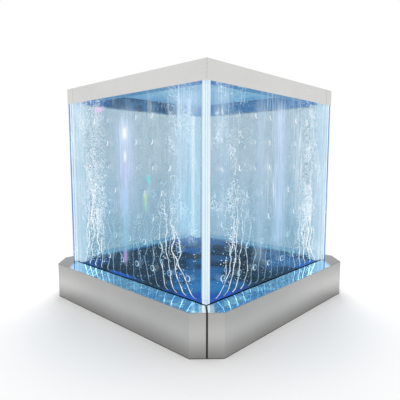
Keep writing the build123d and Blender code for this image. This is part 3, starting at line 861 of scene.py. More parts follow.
@dataclass(frozen=True)
class Water(LitFinish):
    """Lit water: clear, with upright veils of fine bubbles, foam, and patches of light."""

    side: Side
    veils: Sequence[Veil]
    glints: Sequence[Glint]
    seed: float
    murk: float
    haze: float = 0.055
    thin_veil: float = 0.16
    strands: Pattern = Pattern(85.0, 0.44, 0.66, detail=4.0, roughness=0.65, stretch=(1, 1, 0.06))
    curtains: Pattern = Pattern(10.0, 0.36, 0.6, detail=3.0, stretch=(1, 1, 0.3))
    foam_fineness: float = 62.0
    foam_shake: float = 0.02
    shake_fineness: float = 60.0
    specks: Pattern = Pattern(190.0, 0.60, 0.70, detail=1.0)
    patches: Pattern = Pattern(13.0, 0.50, 0.66, detail=4.0, roughness=0.6, stretch=(1, 1, 0.7))
    streaks: Pattern = Pattern(170.0, 0.35, 0.6, 0.72, 1.0, detail=3.0, stretch=(1, 1, 0.04))
    clear_blue: Colour = (0.56, 0.72, 0.88)
    murk_blue: Colour = (0.10, 0.44, 0.66)
    white: Colour = (0.96, 1.04, 1.10)
    back_share: float = 0.4

    def veil(self, graph: Graph, along: Feed, level: Feed, place: Feed) -> Socket:
        """Upright strands of fine bubbles, strongest about the veils' centres.

        Args:
            graph: The material's graph.
            along: Distance from the wall's middle.
            level: Height.
            place: Where the patterns are read.

        Returns:
            The strands' weight.
        """
        strands = graph.product(self.strands.on(graph, place), self.curtains.on(graph, place))
        strength = self.thin_veil
        for veil in self.veils:
            near = graph.hump(along, veil.centre, veil.width)
            strength = graph.sum(strength, graph.product(near, veil.weight))
        return graph.product(strands, strength, graph.span(level, 0.34, 0.56))

    def foam(self, graph: Graph, along: Feed, level: Feed, place: Feed) -> Socket:
        """Patches of foam: a net of bubble walls and bright specks, densest in the outer thirds.

        Args:
            graph: The material's graph.
            along: Distance from the wall's middle.
            level: Height.
            place: Where the patterns are read.

        Returns:
            The foam's weight.
        """
        shake = graph.add("ShaderNodeTexNoise")
        graph.put(shake, Vector=place, Scale=self.shake_fineness)
        spread = graph.vector("MULTIPLY", shake.outputs["Color"], (self.foam_shake,) * 3)
        shaken = graph.vector("ADD", place, spread)
        cells = graph.add("ShaderNodeTexVoronoi", feature="DISTANCE_TO_EDGE")
        graph.put(cells, Vector=shaken, Scale=self.foam_fineness)
        net = graph.span(cells.outputs["Distance"], 0.11, 0.03)
        bubbles = graph.maths("MAXIMUM", net, self.specks.on(graph, place))
        outer = graph.span(graph.maths("ABSOLUTE", along), 0.12, 0.34, 0.16, 1.15)
        weight = graph.product(self.patches.on(graph, place), outer, graph.span(level, 0.30, 0.44))
        return graph.product(bubbles, weight, graph.span(level, 0.55, 0.90, 0.9, 0.6))

    def wire(self, graph: Graph, shader: Node) -> None:
        """Alpha from veils, foam, glints and haze; emission from blue to white.

        Args:
            graph: The material's graph.
            shader: The Principled shader.
        """
        place = graph.place()
        along, level = graph.axis(place, self.side.along), graph.level()
        shifted = graph.vector("ADD", place, (self.seed,) * 3)
        veil = self.veil(graph, along, level, shifted)
        foam = self.foam(graph, along, level, shifted)
        # Painted light: the haze and the murk are partly real cloudiness, and their blue glow is
        # painted, the murk strongest low down.
        haze = graph.span(level, 0.26, 0.6, 0.0, self.haze)
        murk = graph.span(level, 0.72, 0.24, 0.0, self.murk)
        white = graph.maths("MINIMUM", graph.sum(graph.product(veil, 1.2), foam), 1.0)
        blue = graph.mix(graph.span(murk, 0.0, 0.1), self.clear_blue, self.murk_blue)
        tone = graph.mix(white, blue, self.white)
        front = graph.front_face()
        alpha = graph.sum(graph.product(veil, 0.5), graph.product(foam, 0.75), haze, murk)
        alpha = graph.product(alpha, graph.between(front, self.back_share, 1.0))
        shown = graph.product(front, self.streaks.on(graph, place))
        for glint in self.glints:
            mask = graph.product(glint.mask(graph, along, level), shown)
            tone = graph.mix(mask, tone, glint.tone(graph, level))
            alpha = graph.sum(alpha, mask)
        graph.put(
            shader,
            Base_Color=rgba(BLACK),
            Emission_Color=tone,
            Emission_Strength=1.0,
            Specular_IOR_Level=0.0,
            Roughness=graph.between(veil, 0.3, 0.5),
            Alpha=graph.maths("MINIMUM", alpha, 0.95),
        )


@dataclass(frozen=True)
class Foam(LitFinish):
    """White air in water, painted glowing: bright, partly clear, thinner with height, with painted
    shade in mid-wall.
    """

    colour: Colour = (1.12, 1.12, 1.12)
    body: float = 0.9
    broken: float = 0.5
    fade: tuple[float, float] = (0.5, 0.95)
    middle: Colour = (0.34, 0.60, 0.80)
    middle_body: float = 0.6
    shaded: Colour = (0.62, 0.84, 1.0)
    mirrored_strength: float = 2.2
    gaps: Pattern = Pattern(95.0, 0.60, 0.38)
    tones: Pattern = Pattern(40.0, 0.3, 0.6)

    def wire(self, graph: Graph, shader: Node) -> None:
        """Painted glow, brighter as a painted reflection in a mirror, with alpha broken up and
        faded with height.

        Args:
            graph: The material's graph.
            shader: The Principled shader.
        """
        place = graph.place()
        level = graph.level()
        rising = graph.span(
            level, PLINTH_TOP + 0.01, PLINTH_TOP + 0.07, 0.35 * self.broken, self.broken
        )
        whole = graph.maths("SUBTRACT", 1.0, graph.product(self.gaps.on(graph, place), rising))
        # Painted shade: the air is dimmer and bluer in mid-wall than near the ends.
        outer = graph.span(corner_reach(graph, place), 0.12, 0.27)
        lit = graph.mix(self.tones.on(graph, place), self.shaded, self.colour)
        share = graph.between(outer, self.middle_body, 1.0)
        # Painted reflection: the air glows brighter where it is seen in a mirror.
        mirrored = graph.add("ShaderNodeLightPath").outputs["Is Glossy Ray"]
        graph.put(
            shader,
            Base_Color=(0.05, 0.05, 0.05, 1.0),
            Emission_Color=graph.mix(outer, self.middle, lit),
            Emission_Strength=graph.between(mirrored, 1.0, self.mirrored_strength),
            Specular_IOR_Level=0.1,
            Roughness=0.3,
            Alpha=graph.product(whole, graph.span(level, *self.fade, 1.0, 0.5), share, self.body),
        )


@dataclass(frozen=True)
class Ring(LitFinish):
    """A clear post's slanted rim: a painted highlight arc on one side, and a full painted ring of
    light low in the tank.
    """

    facing: Sequence[float]
    body: float
    faint: float
    sway: Pattern = Pattern(9.0, 0.3, 0.7, -0.1, 0.1, detail=0.0)
    sparkle: Pattern = Pattern(110.0, 0.3, 0.55, 0.75, 1.0, detail=1.0)
    low_start: float = 0.50
    low_end: float = 0.34
    shade_high: Colour = (0.06, 0.22, 0.44)
    shade_low: Colour = (0.46, 0.76, 0.98)
    bright_high: Colour = (1.25, 1.22, 1.20)
    bright_low: Colour = (0.72, 0.96, 1.08)

    def wire(self, graph: Graph, shader: Node) -> None:
        """Painted highlight and shade by which way the rim faces, which differs a little from post
        to post.

        Args:
            graph: The material's graph.
            shader: The Principled shader.
        """
        place = graph.place()
        # Painted highlight on the side facing the light, painted shade on the rest.
        faced = graph.axis(graph.add("ShaderNodeNewGeometry").outputs["Normal"], self.facing)
        turned = graph.span(graph.sum(faced, self.sway.on(graph, place)), 0.02, 0.26)
        low = graph.span(graph.level(), self.low_start, self.low_end)
        shaded = graph.mix(low, self.shade_high, self.shade_low)
        bright = graph.mix(low, self.bright_high, self.bright_low)
        rest = graph.between(low, self.faint * 0.6, self.faint)
        gain = graph.product(turned, graph.maths("SUBTRACT", self.body, rest))
        sparkle = self.sparkle.on(graph, place)
        graph.put(
            shader,
            Base_Color=(0.04, 0.05, 0.06, 1.0),
            Emission_Color=graph.mix(turned, shaded, bright),
            Emission_Strength=1.0,
            Specular_IOR_Level=0.2,
            Roughness=0.1,
            Alpha=graph.product(graph.sum(rest, gain), sparkle, graph.front_face()),
        )


@dataclass(frozen=True)
class Pool:
    """A soft round pool of light on a level surface."""

    x: float
    y: float
    radius: float
    colour: Colour
    ragged: Pattern = Pattern(14.0, 0.3, 0.7, -0.25, 0.25, 4.0, 0.65)
    core: float = 0.35

    def over(self, graph: Graph, place: Feed, base: Feed) -> Socket:
        """Lay the pool over a colour.

        Args:
            graph: The material's graph.
            place: The point's Object coordinates.
            base: The colour under it.

        Returns:
            The mixed colour.
        """
        flat = graph.stretched(place, (1, 1, 0))
        gap = graph.vector("DISTANCE", flat, (self.x, self.y, 0.0))
        reach = graph.sum(gap, graph.product(self.ragged.on(graph, place), self.radius))
        return graph.mix(graph.span(reach, self.radius, self.core * self.radius), base, self.colour)


@dataclass(frozen=True)
class Deck(LitFinish):
    """The glossy dark blue floor inside, with painted royal blue light from the four corner lights.
    """

    pools: Sequence[Pool]
    dark: Colour = (0.006, 0.016, 0.032)
    navy: Colour = (0.010, 0.040, 0.085)
    ripple: Pattern = Pattern(9.0, detail=4.0, roughness=0.65)
    gloss: float = 0.10

    def wire(self, graph: Graph, shader: Node) -> None:
        """Nearly black and navy in patches, with the pools of light over them.

        Args:
            graph: The material's graph.
            shader: The Principled shader.
        """
        place = graph.place()
        ripple = self.ripple.raw(graph, place)
        # Painted light: the floor's colour is all glow, navy with painted pools of corner light.
        tone = graph.mix(graph.span(ripple, 0.42, 0.62), self.dark, self.navy)
        for pool in self.pools:
            tone = pool.over(graph, place, tone)
        graph.put(
            shader,
            Base_Color=(0.004, 0.010, 0.02, 1.0),
            Emission_Color=self.finished(graph, place, tone),
            Emission_Strength=1.0,
            Roughness=graph.span(ripple, 0.2, 0.8, self.gloss, 2 * self.gloss),
            Specular_IOR_Level=0.003,
        )

    def finished(self, graph: Graph, place: Feed, tone: Feed) -> Feed:
        """The floor's colour, as it is."""
        return tone


@dataclass(frozen=True)
class AirBar(Deck):
    """Black acrylic whose top takes the water's blue as painted light, with a dark line along its
    outer edge.
    """

    line: Colour = (0.001, 0.004, 0.010)

    def finished(self, graph: Graph, place: Feed, tone: Feed) -> Feed:
        """The bar's colour under its dark line."""
        edge = graph.span(square_reach(graph, place), HALF - SHEET - 4 * MM, HALF - SHEET - 1 * MM)
        return graph.mix(edge, tone, self.line)


@dataclass(frozen=True)
class Ceiling(LitFinish):
    """The roof: satin grey above, and below painted blue light that deepens to painted shade at its
    edge.
    """

    pale: Colour = (0.26, 0.50, 0.65)
    deep: Colour = (0.08, 0.28, 0.52)
    wave: Pattern = Pattern(7.0, detail=4.0, roughness=0.65, stretch=(1, 2.2, 1))
    rim: float = 0.20
    satin: Pattern = Pattern(5.0, detail=4.0, roughness=0.6)
    satin_dark: Colour = (0.15, 0.16, 0.17)
    satin_light: Colour = (0.22, 0.23, 0.24)

    def wire(self, graph: Graph, shader: Node) -> None:
        """Painted light below, pale and deep blue in soft painted caustic patches; plain satin on
        the upper side.

        Args:
            graph: The material's graph.
            shader: The Principled shader.
        """
        place = graph.place()
        wave = self.wave.raw(graph, place)
        # Painted shade: the blue deepens towards the roof's edge.
        rim = graph.span(square_reach(graph, place), INNER_HALF - self.rim, INNER_HALF)
        shade = graph.sum(graph.span(wave, 0.35, 0.65, 0.0, 0.6), graph.product(rim, 0.35))
        above = graph.span(graph.level(), ROOF_TOP - 1.2 * MM, ROOF_TOP - 0.8 * MM)
        satin = graph.mix(self.satin.raw(graph, place), self.satin_dark, self.satin_light)
        graph.put(
            shader,
            Base_Color=graph.mix(above, (0.06, 0.10, 0.14), satin),
            Emission_Color=graph.mix(above, graph.mix(shade, self.pale, self.deep), BLACK),
            Emission_Strength=1.0,
            Roughness=graph.span(wave, 0.2, 0.8, 0.30, 0.42),
            Specular_IOR_Level=0.3,
        )


@dataclass(frozen=True)
class Moulded(Finish):
    """Moulded, painted or cast surface with fine texture, patches and a little dust low down."""

    colour: Colour
    roughness: float = 0.5
    metallic: float = 0.0
    fineness: float = 900.0
    depth: float = 0.2
    dust: float = 0.4
    specular: float = 0.5
    dust_colour: Colour = (0.42, 0.41, 0.39)

    def wire(self, graph: Graph, shader: Node) -> None:
        """Colour varied by patches, lifted by dust, over a fine bumped texture.

        Args:
            graph: The material's graph.
            shader: The Principled shader.
        """
        use = graph.group(DUST, Fineness=self.fineness, Depth=self.depth)
        patches = use.outputs["Patches"]
        dark = tuple(0.86 * part for part in self.colour)
        light = tuple(min(1.0, 1.12 * part) for part in self.colour)
        patched = graph.mix(graph.span(patches, 0.35, 0.65), dark, light)
        dusty = graph.product(use.outputs["Dust"], self.dust)
        smooth, rough = 0.85 * self.roughness, min(1.0, 1.2 * self.roughness)
        graph.put(
            shader,
            Base_Color=graph.mix(dusty, patched, self.dust_colour),
            Roughness=graph.span(patches, 0.3, 0.7, smooth, rough),
            Metallic=self.metallic,
            Specular_IOR_Level=self.specular,
            Normal=use.outputs["Normal"],
        )


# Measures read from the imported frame
OUTER_LOW, OUTER_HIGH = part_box("front_outer_sheet")
HALF = -OUTER_LOW.y
SHEET = OUTER_HIGH.y - OUTER_LOW.y
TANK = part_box("front_inner_sheet")[1].y - OUTER_LOW.y
INNER_HALF = HALF - TANK
PLINTH_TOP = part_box("plinth_skirt_left")[1].z
ROOF_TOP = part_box("roof_panel")[1].z
END_BAR = 20 * MM
WATER_FIT = 0.3 * MM
JET_TOP = PLINTH_TOP + 3.5 * MM
BUBBLE_HEIGHT = 0.82
SEED_STEP = 1.7

# Finishes of this object
CLEAR = ClearSheet("clear_acrylic")
LIT_EDGE = Glow("lit_sheet_edge", (0.04, 0.18, 0.46), (0.08, 0.30, 0.62), 0.06)
LIT_MITRE = Glow("lit_sheet_mitre", (0.62, 0.84, 0.95), (0.74, 0.90, 0.98), 0.35)
WHITE, PALE_CYAN, WALL_BLUE = (0.97, 1.0, 1.0), (0.72, 0.87, 0.95), (0.50, 0.68, 0.82)
BAR_NEAR = Banded(
    "lit_bar_near",
    (
        Band(0, (0.55, 0.80, 0.95), 0.25),
        Band(HALF - 27 * MM, WHITE, 0.92),
        Band(HALF - 16.5 * MM, PALE_CYAN, 0.85),
    ),
)
BAR_FAR = Banded("lit_bar_far", (Band(0, (0.46, 0.74, 0.90), 0.45),))
BAR_SIDE = Banded(
    "lit_bar_side",
    (
        Band(0, (0.62, 0.80, 0.92), 0.55),
        Band(HALF - 21 * MM, (1.05, 1.08, 1.08), 0.92),
        Band(HALF - 14 * MM, (0.07, 0.24, 0.58), 0.92),
    ),
    veiled=0.9,
)
LIGHT_NEAR = Banded(
    "light_diffuser_near",
    (Band(0, WALL_BLUE, 0.25), Band(INNER_HALF - 15 * MM, WHITE, 1.0)),
    sampled=True,
)
LIGHT_FAR = Banded("light_diffuser_far", (Band(0, (0.62, 0.86, 0.98), 1.0),), sampled=True)
LIGHT_SIDE = Banded("light_diffuser_side", (Band(0, (0.62, 0.80, 0.92), 0.4),), veiled=0.9)
# Painted light: colours of the pools of corner light on the air bars and deck.
ROYAL, DEEP_ROYAL = (0.010, 0.095, 0.50), (0.010, 0.075, 0.28)
AIR_BAR_BLUE = AirBar(
    "air_bar_lit_black",
    pools=(
        Pool(-0.07, -0.42, 0.13, ROYAL),
        Pool(-0.33, -0.42, 0.15, DEEP_ROYAL),
        Pool(0.42, -0.42, 0.26, ROYAL),
        Pool(0.42, 0.32, 0.20, (0.020, 0.150, 0.55)),
        Pool(-0.42, 0.42, 0.30, ROYAL),
        Pool(0.05, 0.42, 0.15, DEEP_ROYAL),
        Pool(-0.42, -0.05, 0.15, DEEP_ROYAL),
    ),
)
JET_BRASS = Moulded("jet_plated_brass", (0.70, 0.74, 0.76), 0.25, 1.0, 700.0, 0.1, 0.0)
CAP_STEEL = CapSteel(
    "cap_brushed_steel", 0.70, 0.30, liner_half=INNER_HALF, seam_place=INNER_HALF - 2.7 * MM
)
# Painted shade: darker than the cap's steel, and darker at its foot, head and ledge edges.
PLINTH_STEEL = Steel(
    "plinth_brushed_steel",
    0.56,
    0.42,
    foot_tone=0.62,
    head_tone=0.80,
    mirror_above=PLINTH_TOP - 0.6 * MM,
)
HINGE_STEEL = Steel("hinge_brushed_steel", 0.52, 0.28, (900.0, 900.0, 30.0), 0.2)
TRAY_SHEET = Steel("tray_mill_sheet", 0.66, 0.38, (300.0, 12.0, 300.0), 0.2)
LOCK_CHROME = Steel("lock_chrome", 0.74, 0.10, (200.0, 200.0, 200.0), 0.05)
DECK_BLUE = Deck(
    "deck_lit_blue",
    pools=(
        Pool(-0.36, 0.36, 0.30, (0.008, 0.110, 0.36)),
        Pool(-0.16, 0.14, 0.13, (0.008, 0.110, 0.36)),
        Pool(0.02, -0.04, 0.10, (0.014, 0.110, 0.28)),
        Pool(0.06, 0.08, 0.09, (0.020, 0.100, 0.24)),
        Pool(0.18, -0.18, 0.17, (0.018, 0.150, 0.40)),
        Pool(0.31, -0.30, 0.18, (0.028, 0.230, 0.55)),
        Pool(0.41, -0.41, 0.13, ROYAL),
        Pool(-0.36, -0.38, 0.10, DEEP_ROYAL),
        Pool(0.36, 0.27, 0.19, (0.070, 0.200, 0.440)),
        Pool(0.24, 0.37, 0.12, (0.050, 0.150, 0.340)),
    ),
)
ROOF_BLUE = Ceiling("roof_lit_blue")
SEAM_RUBBER = Moulded(
    "seam_rubber", (0.003, 0.003, 0.004), 0.62, depth=0.3, dust=0.0, specular=0.05
)
FOOT_RUBBER = Moulded("foot_rubber", (0.025, 0.025, 0.026), 0.7)
FRAME_PAINT = Moulded("frame_powder_coat", (0.07, 0.075, 0.08), 0.5, fineness=1200.0)
INLET_PLASTIC = Moulded("inlet_plastic", (0.022, 0.022, 0.024), 0.42, dust=0.1)
ROCKER_PLASTIC = Moulded("rocker_plastic", (0.030, 0.030, 0.033), 0.22, depth=0.08, dust=0.0)
PIN_BRASS = Moulded("pin_plated_brass", (0.72, 0.66, 0.50), 0.25, 1.0, 600.0, 0.1, 0.0)
DRIVER_PAINT = Moulded("driver_white_paint", (0.74, 0.75, 0.76), 0.4, fineness=1400.0)
PUMP_PAINT = Moulded("pump_cast_paint", (0.20, 0.23, 0.28), 0.45, 0.3, 260.0, 0.6)
VALVE_BRASS = Moulded("valve_brass", (0.66, 0.52, 0.26), 0.30, 1.0, 500.0, 0.15, 0.2)
TAP_BLUE = Moulded("tap_blue_plastic", (0.02, 0.12, 0.42), 0.3, dust=0.1)
DRAIN_RED = Moulded("drain_red_plastic", (0.50, 0.035, 0.025), 0.3, dust=0.1)
HOSE_PLASTIC = Moulded("hose_milky_plastic", (0.62, 0.68, 0.70), 0.35, fineness=500.0)
PIPE_PLASTIC = Moulded("pipe_grey_plastic", (0.27, 0.28, 0.29), 0.42)
# Painted shade: the far tanks' air is a dimmer copy of the near tanks' air.
FAR_SHADE_TONE = (0.66, 0.84, 0.98)
STREAM_FADE = (0.34, 0.52)
STREAM_FOAM = Foam("stream_foam", body=0.9, broken=0.6, fade=STREAM_FADE)
BUBBLE_SKIN = Foam("bubble_skin", body=0.85, broken=0.2, middle=(0.6, 0.8, 0.95))
FAR_STREAM_FOAM = Foam("far_stream_foam", FAR_SHADE_TONE, 0.35, 0.6, STREAM_FADE)
FAR_BUBBLE_SKIN = Foam("far_bubble_skin", FAR_SHADE_TONE, 0.30, 0.3)


# Modelling by operators
def leave_edit() -> None:
    """Go back to object mode."""
    bpy.ops.object.mode_set(mode="OBJECT")


def add_object(name: str, data: bpy.types.ID) -> Piece:
    """Put a mesh, curve, lamp or camera into the scene as an object.

    Args:
        name: Name of the object.
        data: What it holds.

    Returns:
        The object.
    """
    made = bpy.data.objects.new(name, data)
    bpy.context.scene.collection.objects.link(made)
    return made


def clear_selection() -> None:
    """Leave edit mode and deselect everything, so that an operator acts on one piece alone."""
    if bpy.context.object and bpy.context.object.mode != "OBJECT":
        leave_edit()
    bpy.ops.object.select_all(action="DESELECT")


def take(piece: Piece) -> None:
    """Make one piece the only selected and active one.

    Args:
        piece: The piece.
    """
    clear_selection()
    piece.select_set(True)
    bpy.context.view_layer.objects.active = piece


def edit_chosen(piece: Piece, chosen: Callable[[object], bool], corners: bool = False) -> None:
    """Enter edit mode with only the chosen faces, or the chosen corners, selected.

    Args:
        piece: The piece.
        chosen: Says of each face or corner whether it is wanted.
        corners: Whether corners are chosen, and not faces.
    """
    take(piece)
    bpy.context.tool_settings.mesh_select_mode = (corners, False, not corners)
    bpy.ops.object.mode_set(mode="EDIT")
    bpy.ops.mesh.select_all(action="DESELECT")
    leave_edit()
    for item in piece.data.vertices if corners else piece.data.polygons:
        item.select = chosen(item)
    bpy.ops.object.mode_set(mode="EDIT")


def edit_all(piece: Piece) -> None:
    """Enter edit mode with everything selected.

    Args:
        piece: The piece.
    """
    take(piece)
    bpy.ops.object.mode_set(mode="EDIT")
    bpy.ops.mesh.select_all(action="SELECT")


def settle(piece: Piece) -> None:
    """Put a piece's place, turn and scale into its mesh.

    Args:
        piece: The piece.
    """
    take(piece)
    bpy.ops.object.transform_apply(location=True, rotation=True, scale=True)


def copy_of(piece: Piece, name: str) -> Piece:
    """A copy of a piece with its own mesh.

    Args:
        piece: What is copied.
        name: Name of the copy.

    Returns:
        The copy, in the scene.
    """
    made = piece.copy()
    made.data = piece.data.copy()
    made.name = name
    bpy.context.scene.collection.objects.link(made)
    return made


def join(pieces: Sequence[Piece], name: str) -> Piece:
    """Join pieces into one.

    Args:
        pieces: The pieces.
        name: Name of the result.

    Returns:
        The joined piece.
    """
    clear_selection()
    for piece in pieces:
        piece.select_set(True)
    bpy.context.view_layer.objects.active = pieces[0]
    bpy.ops.object.join()
    pieces[0].name = name
    return pieces[0]


def apply_modifiers(piece: Piece) -> None:
    """Apply every modifier of a piece, in order.

    Args:
        piece: The piece.
    """
    take(piece)
    for modifier in list(piece.modifiers):
        bpy.ops.object.modifier_apply(modifier=modifier.name)


def dress_piece(piece: Piece, slot: str, *finishes: Finish) -> Piece:
    """Give a new piece its finishes and its body.

    Args:
        piece: The piece.
        slot: Not used.
        finishes: One for each of its material slots.

    Returns:
        The piece.
    """
    for place, finish in enumerate(finishes):
        if place < len(piece.data.materials):
            piece.data.materials[place] = finish.material()
        else:
            piece.data.materials.append(finish.material())
    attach(piece, ROOT_BODY)
    LOG.info("%s: %d faces", piece.name, len(piece.data.polygons))
    return piece


def dress_nodes(finish: Finish, *names: str) -> None:
    """Give CAD nodes a finish.

    Args:
        finish: The finish.
        names: The nodes.
    """
    for name in names:
        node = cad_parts[name]
        node.data.materials.clear()
        node.data.materials.append(finish.material())
        LOG.info("%s: %s", name, finish.name)


def dress_corners(name: str, side: Finish, near: Finish, far: Finish) -> None:
    """Give a CAD node one finish at the near corner, one at the far corner and one elsewhere.

    Args:
        name: The node.
        side: Finish at the left and right corners.
        near: Finish at the near corner.
        far: Finish at the far corner.
    """
    dress_nodes(side, name)
    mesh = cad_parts[name].data
    mesh.materials.append(near.material())
    mesh.materials.append(far.material())
    for face in mesh.polygons:
        diagonal = face.center.x - face.center.y
        face.material_index = 1 if diagonal > HALF else 2 if diagonal < -HALF else 0


@dataclass(frozen=True)
class Scatter:
    """A cloud of small copies of one template, each with its own size."""

    template: Piece

    def tree(self) -> Tree:
        """Geometry group that puts the template on every point and makes it real.

        Returns:
            The group.
        """
        made = bpy.data.node_groups.new("bubble_cloud", "GeometryNodeTree")
        kind = "NodeSocketGeometry"
        for way in ("INPUT", "OUTPUT"):
            made.interface.new_socket(name="Geometry", in_out=way, socket_type=kind)
        graph = Graph(made)
        given = graph.add("NodeGroupInput")
        result = graph.add("NodeGroupOutput")
        source = graph.add("GeometryNodeObjectInfo")
        source.inputs["Object"].default_value = self.template
        size = graph.add("GeometryNodeInputNamedAttribute", data_type="FLOAT_VECTOR")
        size.inputs["Name"].default_value = "size"
        spread = graph.add("GeometryNodeInstanceOnPoints")
        graph.feed(spread.inputs["Points"], given.outputs[0])
        graph.feed(spread.inputs["Instance"], source.outputs["Geometry"])
        graph.feed(spread.inputs["Scale"], size.outputs["Attribute"])
        real = graph.add("GeometryNodeRealizeInstances")
        graph.feed(real.inputs[0], spread.outputs[0])
        graph.feed(result.inputs[0], real.outputs[0])
        return made

    def cloud(self, name: str, spots: Sequence[tuple[Vector, float]]) -> Piece:
        """Make the cloud.

        Args:
            name: Name of the piece.
            spots: Centre and radius of each copy.

        Returns:
            One piece that holds all the copies.
        """
        mesh = bpy.data.meshes.new(name)
        mesh.from_pydata([spot for spot, _ in spots], [], [])
        size = mesh.attributes.new("size", "FLOAT_VECTOR", "POINT")
        for item, (_, radius) in zip(size.data, spots):
            item.vector = (radius, radius, radius)
        piece = add_object(name, mesh)
        tree = self.tree()
        piece.modifiers.new("cloud", "NODES").node_group = tree
        apply_modifiers(piece)
        bpy.data.node_groups.remove(tree)
        if "size" in piece.data.attributes:
            piece.data.attributes.remove(piece.data.attributes["size"])
        take(piece)
        bpy.ops.object.shade_smooth()
        return piece


def make_bubble_template() -> Piece:
    """One bubble of radius 1: a ball flattened a little, as rising bubbles are.

    Returns:
        The template, hidden from the render.
    """
    clear_selection()
    bpy.ops.mesh.primitive_ico_sphere_add(subdivisions=1, radius=1.0, location=(0, 0, 0))
    ball = bpy.context.object
    ball.name = "bubble_template"
    edit_all(ball)
    bpy.ops.transform.resize(value=(1.0, 1.0, BUBBLE_HEIGHT))
    leave_edit()
    return ball


# Sub-assemblies
@dataclass(frozen=True)
class Flow:
    """How the air rises near one kind of tank end."""

    settle_by: float
    lean: float
    side_strands: int
    thickening: float
    bubble_counts: Sequence[int]


MITRED_FLOW = Flow(0.085, 0.088, 1, 0.15, (0, 1, 1, 2))
BUTTED_FLOW = Flow(0.045, 0.066, 4, 0.75, (2, 3, 4, 5))
MIDDLE_COUNTS = (0, 0, 1, 1)


@dataclass(frozen=True)
class Strand:
    """A short length of stream: how far it rises, drifts to either side and wavers."""

    rises: tuple[float, float]
    lean_mm: float
    sway_mm: float


SIDE_STRAND = Strand((0.06, 0.16), 25, 6)
LOOSE_STRAND = Strand((0.03, 0.09), 12, 5)


class LinePoint(NamedTuple):
    """A point of a stream's line: its place in the tank and its share of the full thickness."""

    along: float
    depth: float
    level: float
    thick: float


